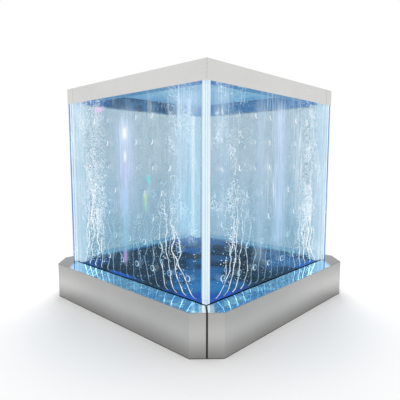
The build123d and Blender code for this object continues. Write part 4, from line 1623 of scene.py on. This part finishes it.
@dataclass
class Tank:
    """One water tank: its clear sheets, lit bars, posts, water, rising streams and bubbles.

    A field whose name ends in mm is in millimetres, and every other length is in metres.
    """

    side: Side
    seed: int
    veils: Sequence[Veil]
    glints: Sequence[Glint]
    water_level: float = 0.955
    surface_margin: float = 3 * MM
    surface_dip: float = 1.5 * MM
    surface_cuts: int = 9
    surface_ripple: float = 1.2 * MM
    # Painted blue glow in the water, much stronger in the tanks seen from inside.
    front_murk: float = 0.04
    rear_murk: float = 0.30
    post_rows: int = 7
    post_columns: int = 8
    short_rows: Sequence[int] = (1, 3)
    post_spacing: float = 100 * MM
    post_sides: int = 20
    post_rim: float = 3.5 * MM
    post_slant: float = 1.3 * MM
    post_light: tuple[float, float] = (0.95, -0.3)
    wall_shine: tuple[float, float] = (0.10, 0.06)
    rim_shine: tuple[float, float] = (0.98, 0.80)
    jets: int = 16
    jet_row_half: float = 378.75 * MM
    stream_radius: float = 1.45 * MM
    stream_step: float = 9 * MM
    quick_wave: tuple[float, float] = (0.045, 0.07)
    slow_wave: tuple[float, float] = (0.09, 0.17)
    full_waver: float = 0.11
    quick_share: float = 0.45
    depth_sway: float = 4 * MM
    thick_draw: tuple[float, float] = (0.4, 1.5)
    jet_offset: float = 2 * MM
    jet_throw: float = 8 * MM
    jet_rise: float = 0.008
    wall_gap: float = 30 * MM
    butted_share: float = 0.72
    middle_half: float = 0.20
    least_rise: float = 0.20
    outer_rise: float = 0.24
    rise_draw: tuple[float, float] = (0.0, 0.10)
    lean_draw: tuple[float, float] = (0.85, 1.15)
    sway_mm: tuple[float, float] = (4.5, 8.0)
    loose_strands: int = 70
    strand_crowding: tuple[float, float] = (4, 2)
    strand_rises: tuple[float, float] = (0.16, 0.72)
    clean_rise: float = 0.03
    beside_mm: tuple[float, float] = (0.9, 2.0)
    top_bubbles: int = 12
    top_spread: float = 9 * MM
    top_thinning: float = 0.04
    top_mm: tuple[float, float] = (1.0, 2.8)
    foam_patches: int = 44
    foam_crowding: tuple[float, float] = (5, 2)
    foam_rises: tuple[float, float] = (0.2, 0.74)
    foam_counts: tuple[int, int] = (10, 40)
    foam_spread: tuple[float, float] = (12 * MM, 20 * MM)
    foam_mm: tuple[float, float] = (1.0, 3.0)
    loose_bubbles: int = 420
    loose_rises: tuple[float, float] = (0.02, 0.78)
    loose_mm: tuple[float, float] = (0.9, 2.2)
    surface_bubbles: int = 260
    surface_crowding: tuple[float, float] = (4, 1.5)
    surface_levels: tuple[float, float] = (0.89, 0.03)
    surface_mm: tuple[float, float] = (1.0, 2.6)
    draw: random.Random = field(init=False)
    lines: list[list[LinePoint]] = field(init=False, default_factory=list)
    spots: list[tuple[Vector, float]] = field(init=False, default_factory=list)

    def __post_init__(self) -> None:
        """Start the tank's own random draws."""
        self.draw = random.Random(self.seed)

    @property
    def in_front(self) -> bool:
        """Whether the photograph shows this tank from outside."""
        return self.side in (Side.FRONT, Side.RIGHT)

    def at(self, along: float, depth: float, level: float) -> Vector:
        """A point of the tank.

        Args:
            along: Distance from the wall's middle.
            depth: Distance inwards from its outer face.
            level: Height.

        Returns:
            The point in the shared frame.
        """
        return self.side.along * along + self.side.inward * (depth - HALF) + Vector((0, 0, level))

    def end_reach(self, kind: WallEnd, depth: float) -> float:
        """Distance from the wall's middle to the inner face of an end bar.

        Args:
            kind: How that end meets its neighbour.
            depth: Distance inwards from the outer face, where it is wanted.

        Returns:
            The distance.
        """
        reach = {
            WallEnd.MITRE: HALF - depth,
            WallEnd.BUTT: INNER_HALF,
            WallEnd.FULL: HALF,
        }[kind]
        return reach - END_BAR - 2 * WATER_FIT

    def build_water(self) -> Piece:
        """The water between the sheets, with slanted ends where the tank is mitred.

        Returns:
            The water piece.
        """
        near, far = SHEET + WATER_FIT, TANK - SHEET - WATER_FIT
        bottom = PLINTH_TOP + WATER_FIT
        left, right = ENDS[self.side]
        left_end, right_end = -self.end_reach(left, near), self.end_reach(right, near)
        middle = ((left_end + right_end) / 2, (near + far) / 2, (bottom + self.water_level) / 2)
        clear_selection()
        bpy.ops.mesh.primitive_cube_add(
            size=1, location=self.at(*middle), rotation=(0, 0, self.side.turn)
        )
        water = bpy.context.object
        water.name = f"{self.side.label}_water"
        water.scale = (right_end - left_end, far - near, self.water_level - bottom)
        settle(water)
        for kind, sign in ((left, -1), (right, 1)):
            if kind is WallEnd.MITRE:
                self.slant_end(water, sign, far - near)
        edit_chosen(water, lambda face: face.normal.z > FACES_THAT_WAY)
        bpy.ops.mesh.inset(thickness=self.surface_margin, depth=0)
        bpy.ops.transform.translate(value=(0, 0, -self.surface_dip))
        bpy.ops.mesh.subdivide(number_cuts=self.surface_cuts)
        bpy.ops.transform.vertex_random(
            offset=self.surface_ripple, uniform=0.3, normal=0.0, seed=self.seed
        )
        leave_edit()
        finish = Water(
            f"{self.side.label}_lit_water",
            self.side,
            self.veils,
            self.glints,
            self.seed * SEED_STEP,
            self.front_murk if self.in_front else self.rear_murk,
        )
        return dress_piece(water, "clear_sheet", finish)

    def slant_end(self, water: Piece, sign: int, amount: float) -> None:
        """Move the inner edge of one end towards the middle, along the mitre.

        Args:
            water: The water piece.
            sign: Which end, -1 for the left and 1 for the right.
            amount: How far.
        """
        outward, inward = self.side.along * sign, self.side.inward
        middle = TANK / 2 - HALF
        edit_chosen(
            water,
            lambda corner: corner.co.dot(outward) > 0 and corner.co.dot(inward) > middle,
            corners=True,
        )
        bpy.ops.transform.translate(value=-outward * amount)
        leave_edit()

    def build_posts(self) -> Piece:
        """Round clear posts between the sheets, in place of the plain ones.

        Returns:
            The piece that replaces the node.
        """
        node = f"{self.side.label}_spacer_posts"
        low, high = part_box(node)
        ends = sorted((low.dot(self.side.along), high.dot(self.side.along)))
        size = high.z - low.z - (self.post_rows - 1) * self.post_spacing
        row_half = (ends[1] - ends[0]) / 2 - size / 2 * math.cos(math.pi / 6)
        pitch = 2 * row_half / (self.post_columns - 1)
        lift = (high.z - low.z - size) / (self.post_rows - 1)
        # Painted highlight: the side of each rim that faces this way is painted bright.
        sideways, upward = self.post_light
        lit_from = self.side.along * (sideways if self.side is Side.FRONT else -sideways)
        bright = tuple(lit_from + Vector((0, 0, upward)))
        finishes = (
            Ring(f"{self.side.label}_post_wall", bright, *self.wall_shine),
            Ring(f"{self.side.label}_post_rim", bright, *self.rim_shine),
        )
        post = self.post_template(size / 2, finishes)
        made = []
        for row in range(self.post_rows):
            count = self.post_columns - (row in self.short_rows)
            strip = copy_of(post, f"{node}_row")
            level = low.z + size / 2 + row * lift
            strip.location = self.at(-(count - 1) / 2 * pitch, TANK / 2, level)
            settle(strip)
            array = strip.modifiers.new("row", "ARRAY")
            array.count = count
            array.use_relative_offset = False
            array.use_constant_offset = True
            array.constant_offset_displace = self.side.along * pitch
            apply_modifiers(strip)
            made.append(strip)
        bpy.data.objects.remove(post)
        posts = join(made, f"{self.side.label}_posts")
        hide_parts(node)
        return dress_piece(posts, "clear_post", *finishes)

    def post_template(self, radius: float, finishes: Sequence[Finish]) -> Piece:
        """One post across the water gap, with a slanted rim round each end.

        Args:
            radius: The post's radius.
            finishes: For the post's side and ends, and for its rims.

        Returns:
            The post, at the origin, along the wall's depth.
        """
        gap = TANK - 2 * SHEET
        clear_selection()
        bpy.ops.mesh.primitive_cylinder_add(
            vertices=self.post_sides,
            radius=radius,
            depth=gap - 2 * (2 * WATER_FIT + self.post_slant),
        )
        post = bpy.context.object
        edit_chosen(post, lambda face: abs(face.normal.z) > FACES_THAT_WAY)
        bpy.ops.mesh.inset(thickness=self.post_rim, depth=self.post_slant, use_individual=True)
        leave_edit()
        post.rotation_euler = (math.pi / 2, 0, self.side.turn)
        settle(post)
        for finish in finishes:
            post.data.materials.append(finish.material())
        for face in post.data.polygons:
            turned = abs(face.normal.dot(self.side.inward))
            face.material_index = int(0.2 < turned < 0.98)
        take(post)
        bpy.ops.object.shade_smooth_by_angle(angle=math.radians(40))
        return post

    def rising_line(
        self,
        start: float,
        foot: float,
        top: float,
        lean: float,
        sway: float,
        settle_by: float = 0.08,
    ) -> list[LinePoint]:
        """The wavering line of one stream.

        Args:
            start: Where it starts along the wall.
            foot: Height of its start.
            top: Height of its end.
            lean: How far it drifts along the wall in all.
            sway: How far it wavers.
            settle_by: Height over which the drift dies away.

        Returns:
            The line's points, from its foot up.
        """
        draw = self.draw
        fast, slow = draw.uniform(*self.quick_wave), draw.uniform(*self.slow_wave)
        first, second = draw.uniform(0, TAU), draw.uniform(0, TAU)
        thickening = self.flow(start).thickening * abs(start) / self.jet_row_half
        points = []
        for step in range(max(4, int((top - foot) / self.stream_step))):
            rise = step * self.stream_step
            growth = min(1.0, rise / self.full_waver)
            turn = TAU * rise / slow
            swing = self.quick_share * math.sin(TAU * rise / fast + first)
            swing += math.sin(turn + second)
            swing -= math.sin(second) + self.quick_share * math.sin(first)
            along = start + lean * (1 - math.exp(-rise / settle_by)) + growth * sway * swing
            drift = self.jet_throw * min(1.0, rise / self.jet_rise)
            depth = TANK / 2 - self.jet_offset - drift
            depth += growth * self.depth_sway * math.sin(turn + first)
            thick = (0.75 + 0.5 * growth) * draw.uniform(*self.thick_draw) * (0.85 + thickening)
            points.append(LinePoint(self.keep_in(along), depth, foot + rise, thick))
        return points

    def keep_in(self, along: float) -> float:
        """A place along the wall, held inside the water."""
        return max(self.wall_gap - INNER_HALF, min(INNER_HALF - self.wall_gap, along))

    def mitred(self, along: float) -> bool:
        """Whether the wall is mitred at the end that a place is nearer to."""
        return ENDS[self.side][int(along > 0)] is WallEnd.MITRE

    def flow(self, along: float) -> Flow:
        """How the air rises at the end that a place is nearer to."""
        return MITRED_FLOW if self.mitred(along) else BUTTED_FLOW

    def plan_streams(self) -> None:
        """Draw the lines of all streams: from each jet, their side strands, and loose pieces."""
        draw = self.draw
        for jet in range(self.jets):
            start = (2 * jet / (self.jets - 1) - 1) * self.jet_row_half
            outer = abs(start) / self.jet_row_half
            flow = self.flow(start)
            top = PLINTH_TOP + self.least_rise + self.outer_rise * outer**2
            top += draw.uniform(*self.rise_draw)
            lean = math.copysign(flow.lean, -start)
            lean *= outer**1.5 * draw.uniform(*self.lean_draw)
            sway = draw.uniform(*self.sway_mm) * MM * (0.7 + 0.7 * outer)
            main = self.rising_line(start, JET_TOP, top, lean, sway, flow.settle_by)
            self.lines.append(main)
            for _ in range(1 if outer < 0.5 else flow.side_strands):
                point = draw.choice(main[5:])
                self.add_strand(point.along, point.level, SIDE_STRAND)
        for _ in range(self.loose_strands):
            along = self.crowded(self.strand_crowding)
            level = PLINTH_TOP + draw.uniform(*self.strand_rises)
            self.add_strand(along, level, LOOSE_STRAND)

    def add_strand(self, along: float, level: float, strand: Strand) -> None:
        """Draw the line of a short strand.

        Args:
            along: Where it starts along the wall.
            level: Height of its start.
            strand: How it rises.
        """
        top = level + self.draw.uniform(*strand.rises)
        drift = self.draw.uniform(-strand.lean_mm, strand.lean_mm) * MM
        self.lines.append(self.rising_line(along, level, top, drift, strand.sway_mm * MM))

    def crowded(self, crowding: tuple[float, float]) -> float:
        """Draw a place along the wall, more often near an end that isn't mitred.

        Args:
            crowding: How strongly places crowd to the ends and to the middle.

        Returns:
            Its distance from the wall's middle.
        """
        outer = self.draw.betavariate(*crowding)
        butted = -1 if self.mitred(1) else 1
        way = butted if self.draw.random() < self.butted_share else -butted
        return outer * way * self.jet_row_half

    def build_streams(self) -> Piece:
        """The streams of air: wavering threads of uneven thickness along the planned lines.

        Returns:
            The streams as one mesh.
        """
        curve = bpy.data.curves.new(f"{self.side.label}_streams", "CURVE")
        curve.dimensions = "3D"
        curve.bevel_depth = self.stream_radius
        curve.bevel_resolution = 0
        curve.resolution_u = 2
        curve.use_fill_caps = True
        for line in self.lines:
            spline = curve.splines.new("NURBS")
            spline.points.add(len(line) - 1)
            for point, (along, depth, level, thick) in zip(spline.points, line):
                point.co = (*self.at(along, depth, level), 1.0)
                point.radius = thick
            spline.order_u = 4
            spline.use_endpoint_u = True
        take(add_object(curve.name, curve))
        bpy.ops.object.convert(target="MESH")
        streams = bpy.context.object
        edit_all(streams)
        bpy.ops.mesh.normals_make_consistent(inside=False)
        leave_edit()
        bpy.ops.object.shade_smooth()
        return dress_piece(streams, "clear_bar", STREAM_FOAM if self.in_front else FAR_STREAM_FOAM)

    def drop(self, along: float, level: float, radii_mm: tuple[float, float]) -> None:
        """Add one bubble, at a depth drawn about the tank's middle.

        Args:
            along: Distance from the wall's middle.
            level: Height.
            radii_mm: The least and the greatest radius, in millimetres.
        """
        radius = self.draw.uniform(*radii_mm) * MM
        level = min(self.water_level - 10 * MM, max(PLINTH_TOP + 5 * MM, level))
        depth = TANK / 2 + self.draw.uniform(-0.3, 0.3) * (TANK - 2 * SHEET)
        self.spots.append((self.at(self.keep_in(along), depth, level), radius))

    def plan_line_bubbles(self, line: Sequence[LinePoint]) -> None:
        """Draw the bubbles beside a stream's line and those above its end.

        Args:
            line: The stream's points.
        """
        draw = self.draw
        start, top = line[0].along, line[-1]
        counts = self.flow(start).bubble_counts if abs(start) > self.middle_half else MIDDLE_COUNTS
        for point in line[2:]:
            rise = point.level - PLINTH_TOP
            spread = (3 + 24 * rise) * MM
            for _ in range(draw.choice(counts) if rise > self.clean_rise else 0):
                along = draw.gauss(point.along, spread)
                level = point.level + draw.uniform(-8, 8) * MM
                self.drop(along, level, self.beside_mm)
        for _ in range(self.top_bubbles):
            along = draw.gauss(top.along, self.top_spread)
            level = top.level + draw.expovariate(1 / self.top_thinning)
            self.drop(along, level, self.top_mm)

    def plan_bubbles(self) -> None:
        """Draw all bubbles: along the streams, in foam patches, loose, and below the surface."""
        draw = self.draw
        for line in self.lines:
            self.plan_line_bubbles(line)
        for _ in range(self.foam_patches):
            centre = self.crowded(self.foam_crowding)
            height = PLINTH_TOP + draw.uniform(*self.foam_rises)
            wide, high = self.foam_spread
            for _ in range(draw.randint(*self.foam_counts)):
                self.drop(draw.gauss(centre, wide), draw.gauss(height, high), self.foam_mm)
        for _ in range(self.loose_bubbles):
            along = draw.uniform(-1, 1) * self.jet_row_half
            self.drop(along, PLINTH_TOP + draw.uniform(*self.loose_rises), self.loose_mm)
        for _ in range(self.surface_bubbles):
            along = self.crowded(self.surface_crowding)
            self.drop(along, draw.gauss(*self.surface_levels), self.surface_mm)

    def build_bubbles(self, scatter: Scatter) -> Piece:
        """The loose bubbles.

        Args:
            scatter: Spreads the bubble template.

        Returns:
            The bubbles as one mesh.
        """
        bubbles = scatter.cloud(f"{self.side.label}_bubbles", self.spots)
        return dress_piece(bubbles, "clear_bar", BUBBLE_SKIN if self.in_front else FAR_BUBBLE_SKIN)

    def dress_frame(self) -> None:
        """Finish the tank's CAD nodes; the outer sheet's thin faces get the lit edge."""
        label = self.side.label
        dress_nodes(CLEAR, f"{label}_outer_sheet", f"{label}_inner_sheet")
        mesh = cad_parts[f"{label}_outer_sheet"].data
        mesh.materials.append(LIT_MITRE.material())
        mesh.materials.append(LIT_EDGE.material())
        for face in mesh.polygons:
            turned = abs(face.normal.dot(self.side.inward))
            at_corner = abs(face.center.dot(self.side.along)) > HALF - 1 * MM
            edge = 1 if turned > 0.5 else 2 * at_corner
            face.material_index = 0 if turned > FACES_THAT_WAY else edge
        dress_corners(f"{label}_end_bars", BAR_SIDE, BAR_NEAR, BAR_FAR)
        dress_nodes(AIR_BAR_BLUE, f"{label}_air_bar")
        dress_nodes(JET_BRASS, f"{label}_air_jets")

    def build(self, scatter: Scatter) -> None:
        """Make the tank's pieces in order.

        Args:
            scatter: Spreads the bubble template.
        """
        self.dress_frame()
        self.build_posts()
        self.build_water()
        self.plan_streams()
        self.build_streams()
        self.plan_bubbles()
        self.build_bubbles(scatter)


@dataclass
class Shell:
    """The steel round the tanks: plinth, cap, roof and floor, with the lights between them."""

    def build(self) -> None:
        """Finish the shell's CAD nodes."""
        dress_nodes(PLINTH_STEEL, "plinth_skirt_left", "plinth_skirt_right", "access_door")
        dress_nodes(SEAM_RUBBER, "seam_gasket_near", "seam_gasket_far")
        dress_nodes(CAP_STEEL, *(f"cap_{side.label}" for side in Side))
        dress_nodes(ROOF_BLUE, "roof_panel")
        dress_nodes(DECK_BLUE, "deck_plate")
        dress_corners("corner_lights", LIGHT_SIDE, LIGHT_NEAR, LIGHT_FAR)


@dataclass
class ServiceGear:
    """What the plinth holds, and what is reached at its rear."""

    def build(self) -> None:
        """Finish the gear's CAD nodes."""
        dress_nodes(FRAME_PAINT, "base_rails", "base_legs")
        dress_nodes(FOOT_RUBBER, "levelling_feet", "pump_feet")
        dress_nodes(TRAY_SHEET, "equipment_tray")
        dress_nodes(HINGE_STEEL, "hinge_leaf_frame", "hinge_leaf_door", "hinge_pin")
        dress_nodes(LOCK_CHROME, "lock_barrel", "lock_cam")
        dress_nodes(INLET_PLASTIC, "power_inlet")
        dress_nodes(PIN_BRASS, "inlet_pins")
        dress_nodes(ROCKER_PLASTIC, "switch_rocker")
        dress_nodes(DRIVER_PAINT, "light_driver")
        dress_nodes(PUMP_PAINT, "air_pump")
        dress_nodes(VALVE_BRASS, "valve_block", "drain_cock")
        dress_nodes(TAP_BLUE, *(f"valve_lever_{side.label}" for side in Side))
        dress_nodes(DRAIN_RED, "drain_lever")
        dress_nodes(HOSE_PLASTIC, "air_hoses")
        dress_nodes(PIPE_PLASTIC, "link_pipes")


@dataclass
class Studio:
    """The pale floor, the soft light and the camera."""

    floor_size: float = 14.0
    camera_place: Sequence[float] = (1.3491, -1.4375, 0.6780)
    camera_pitch: float = 6.144
    camera_roll: float = -0.043
    camera_yaw: float = 43.268
    lens: float = 35.81
    surround: float = 0.96
    floor_fade: tuple[float, float] = (0.66, 1.3)
    lamp_place: Sequence[float] = (-1.1, 1.2, 2.6)
    lamp_size: float = 2.2
    lamp_power: float = 56.0

    def build_floor(self) -> None:
        """A wide pale floor with a trace of unevenness in its colour, glowing white further out."""
        clear_selection()
        bpy.ops.mesh.primitive_plane_add(size=self.floor_size, location=(0, 0, 0))
        floor = bpy.context.object
        floor.name = "studio_floor"
        made = bpy.data.materials.new("studio_floor")
        made.use_nodes = True
        graph = Graph(made.node_tree)
        wear = graph.noise(graph.place(), 1.5, 3.0)
        far = graph.span(graph.vector("LENGTH", graph.place()), *self.floor_fade)
        pale = graph.mix(wear, (0.92, 0.92, 0.92), (0.94, 0.94, 0.94))
        graph.put(
            made.node_tree.nodes["Principled BSDF"],
            Base_Color=graph.mix(far, pale, BLACK),
            Roughness=0.9,
            Specular_IOR_Level=0.0,
            Emission_Color=(1.0, 1.0, 1.0, 1.0),
            Emission_Strength=far,
        )
        made.cycles.emission_sampling = "NONE"
        floor.data.materials.append(made)

    def build_light(self) -> None:
        """A surround that looks white but lights less, and a soft light behind and above."""
        world = bpy.data.worlds.new("studio")
        bpy.context.scene.world = world
        world.use_nodes = True
        graph = Graph(world.node_tree)
        background = world.node_tree.nodes["Background"]
        seen = graph.add("ShaderNodeLightPath").outputs["Is Camera Ray"]
        graph.put(
            background, Color=(1, 1, 1, 1), Strength=graph.between(seen, self.surround, 1.0)
        )
        lamp = bpy.data.lights.new("behind_and_above", "AREA")
        lamp.shape = "RECTANGLE"
        lamp.size = lamp.size_y = self.lamp_size
        lamp.energy = self.lamp_power
        light = add_object(lamp.name, lamp)
        light.location = self.lamp_place
        light.rotation_euler = Vector(self.lamp_place).to_track_quat("Z", "Y").to_euler()

    def build_camera(self) -> None:
        """The camera at the photograph's place, turn and field of view."""
        camera = bpy.data.cameras.new("camera")
        camera.lens = self.lens
        camera.sensor_width = 36.0
        camera.dof.use_dof = False
        place = add_object("camera", camera)
        place.location = self.camera_place
        place.rotation_euler = (
            math.radians(90 - self.camera_pitch),
            math.radians(self.camera_roll),
            math.radians(self.camera_yaw),
        )
        scene = bpy.context.scene
        scene.camera = place
        scene.view_settings.view_transform = "Standard"
        scene.cycles.transparent_max_bounces = 64
        scene.cycles.max_bounces = 12
        scene.cycles.glossy_bounces = 6

    def build(self) -> None:
        """Make the camera first, then the floor and the light."""
        self.build_camera()
        self.build_floor()
        self.build_light()


def write_sizes() -> None:
    """Bring the scene's transforms up to date."""
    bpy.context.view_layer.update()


def make_tanks() -> tuple[Tank, ...]:
    """The four tanks, each with its own seed, veils of bubbles and patches of light.

    Returns:
        The tanks, in the order in which they are built.
    """
    core, lavender = (1.42, 1.30, 1.22), (0.62, 0.72, 1.04)
    return (
        Tank(
            Side.FRONT,
            11,
            (
                Veil(-0.04, 0.10, 0.8),
                Veil(-0.34, 0.16, 1.4),
                Veil(0.15, 0.10, 0.6),
                Veil(0.32, 0.16, 0.8),
            ),
            (
                Glint(-0.012, 0.150, 0.34, 0.94, 0.54, lavender, (0.66, 0.82, 1.04)),
                Glint(-0.014, 0.085, 0.52, 0.90, 0.42, (0.72, 0.70, 1.08), (0.86, 0.96, 1.10)),
                Glint(-0.016, 0.046, 0.715, 0.835, 0.45, (1.0, 1.05, 1.12), (1.0, 1.05, 1.12), 0.4),
                Glint(-0.016, 0.024, 0.742, 0.810, 0.90, core, core, 0.4),
                Glint(-0.015, 0.017, 0.645, 0.716, 0.78, core, core, 0.45),
                Glint(-0.020, 0.046, 0.22, 0.60, 0.62, (0.26, 0.70, 0.94), (0.56, 0.78, 1.06)),
                Glint(0.114, 0.021, 0.450, 0.554, 0.88, (0.22, 0.78, 0.52), (0.82, 1.02, 0.36)),
                Glint(0.134, 0.016, 0.572, 0.614, 0.85, (0.16, 0.84, 0.90), (0.10, 0.92, 0.82)),
                Glint(0.136, 0.026, 0.510, 0.620, 0.35, (0.30, 0.84, 0.96), (0.20, 0.88, 0.88)),
                Glint(
                    -0.026, 0.021, 0.205, 0.305, 0.82, (0.86, 0.16, 0.78), (0.62, 0.30, 0.86), 0.45
                ),
                Glint(-0.200, 0.070, 0.871, 0.901, 0.85, (1.20, 0.66, 1.05), (1.15, 0.70, 1.08)),
                Glint(0.345, 0.120, 0.34, 0.96, 0.72, (0.46, 0.84, 1.08), (0.76, 0.96, 1.14), 0.15),
            ),
        ),
        Tank(
            Side.RIGHT,
            23,
            (
                Veil(-0.02, 0.14, 1.0),
                Veil(0.18, 0.12, 1.0),
                Veil(0.35, 0.16, 1.3),
                Veil(-0.34, 0.12, 0.4),
            ),
            (
                Glint(
                    -0.360, 0.090, 0.34, 0.96, 0.36, (0.46, 0.84, 1.08), (0.76, 0.96, 1.14), 0.15
                ),
                Glint(0.018, 0.090, 0.24, 0.94, 0.78, (0.64, 0.82, 1.10), (0.78, 0.90, 1.14), 0.15),
                Glint(
                    -0.120, 0.070, 0.20, 0.94, 0.46, (0.60, 0.78, 1.02), (0.76, 0.88, 1.06), 0.15
                ),
                Glint(0.160, 0.070, 0.30, 0.90, 0.34, (0.80, 0.92, 1.04), (0.86, 0.96, 1.06)),
                Glint(-0.225, 0.060, 0.30, 0.74, 0.24, (0.52, 0.74, 1.00), (0.64, 0.80, 1.04)),
                Glint(0.405, 0.100, 0.24, 0.95, 0.42, (0.74, 0.94, 1.10), (0.92, 1.02, 1.12), 0.1),
            ),
        ),
        Tank(
            Side.REAR,
            37,
            (Veil(0.05, 0.12, 0.6), Veil(-0.28, 0.12, 0.5)),
            (Glint(0.382, 0.034, 0.17, 0.98, 0.30, (0.45, 0.78, 0.98), (0.55, 0.85, 1.0)),),
        ),
        Tank(
            Side.LEFT,
            41,
            (Veil(-0.05, 0.12, 0.6), Veil(0.28, 0.12, 0.5)),
            (
                Glint(
                    -0.372, 0.075, 0.17, 0.98, 0.45, (0.50, 1.05, 1.40), (0.80, 1.20, 1.45), 0.02
                ),
                Glint(
                    -0.370, 0.034, 0.17, 0.98, 1.00, (1.90, 1.90, 1.50), (2.70, 2.00, 1.65), 0.02
                ),
            ),
        ),
    )


def main() -> None:
    """Build the studio, the shell, the gear and the four tanks."""
    logging.basicConfig(level=logging.INFO, format="%(name)s %(message)s")
    Studio().build()
    Shell().build()
    ServiceGear().build()
    bubble = make_bubble_template()
    scatter = Scatter(bubble)
    for tank in make_tanks():
        tank.build(scatter)
    bpy.data.objects.remove(bubble)
    write_sizes()


if __name__ == "__main__":
    main()
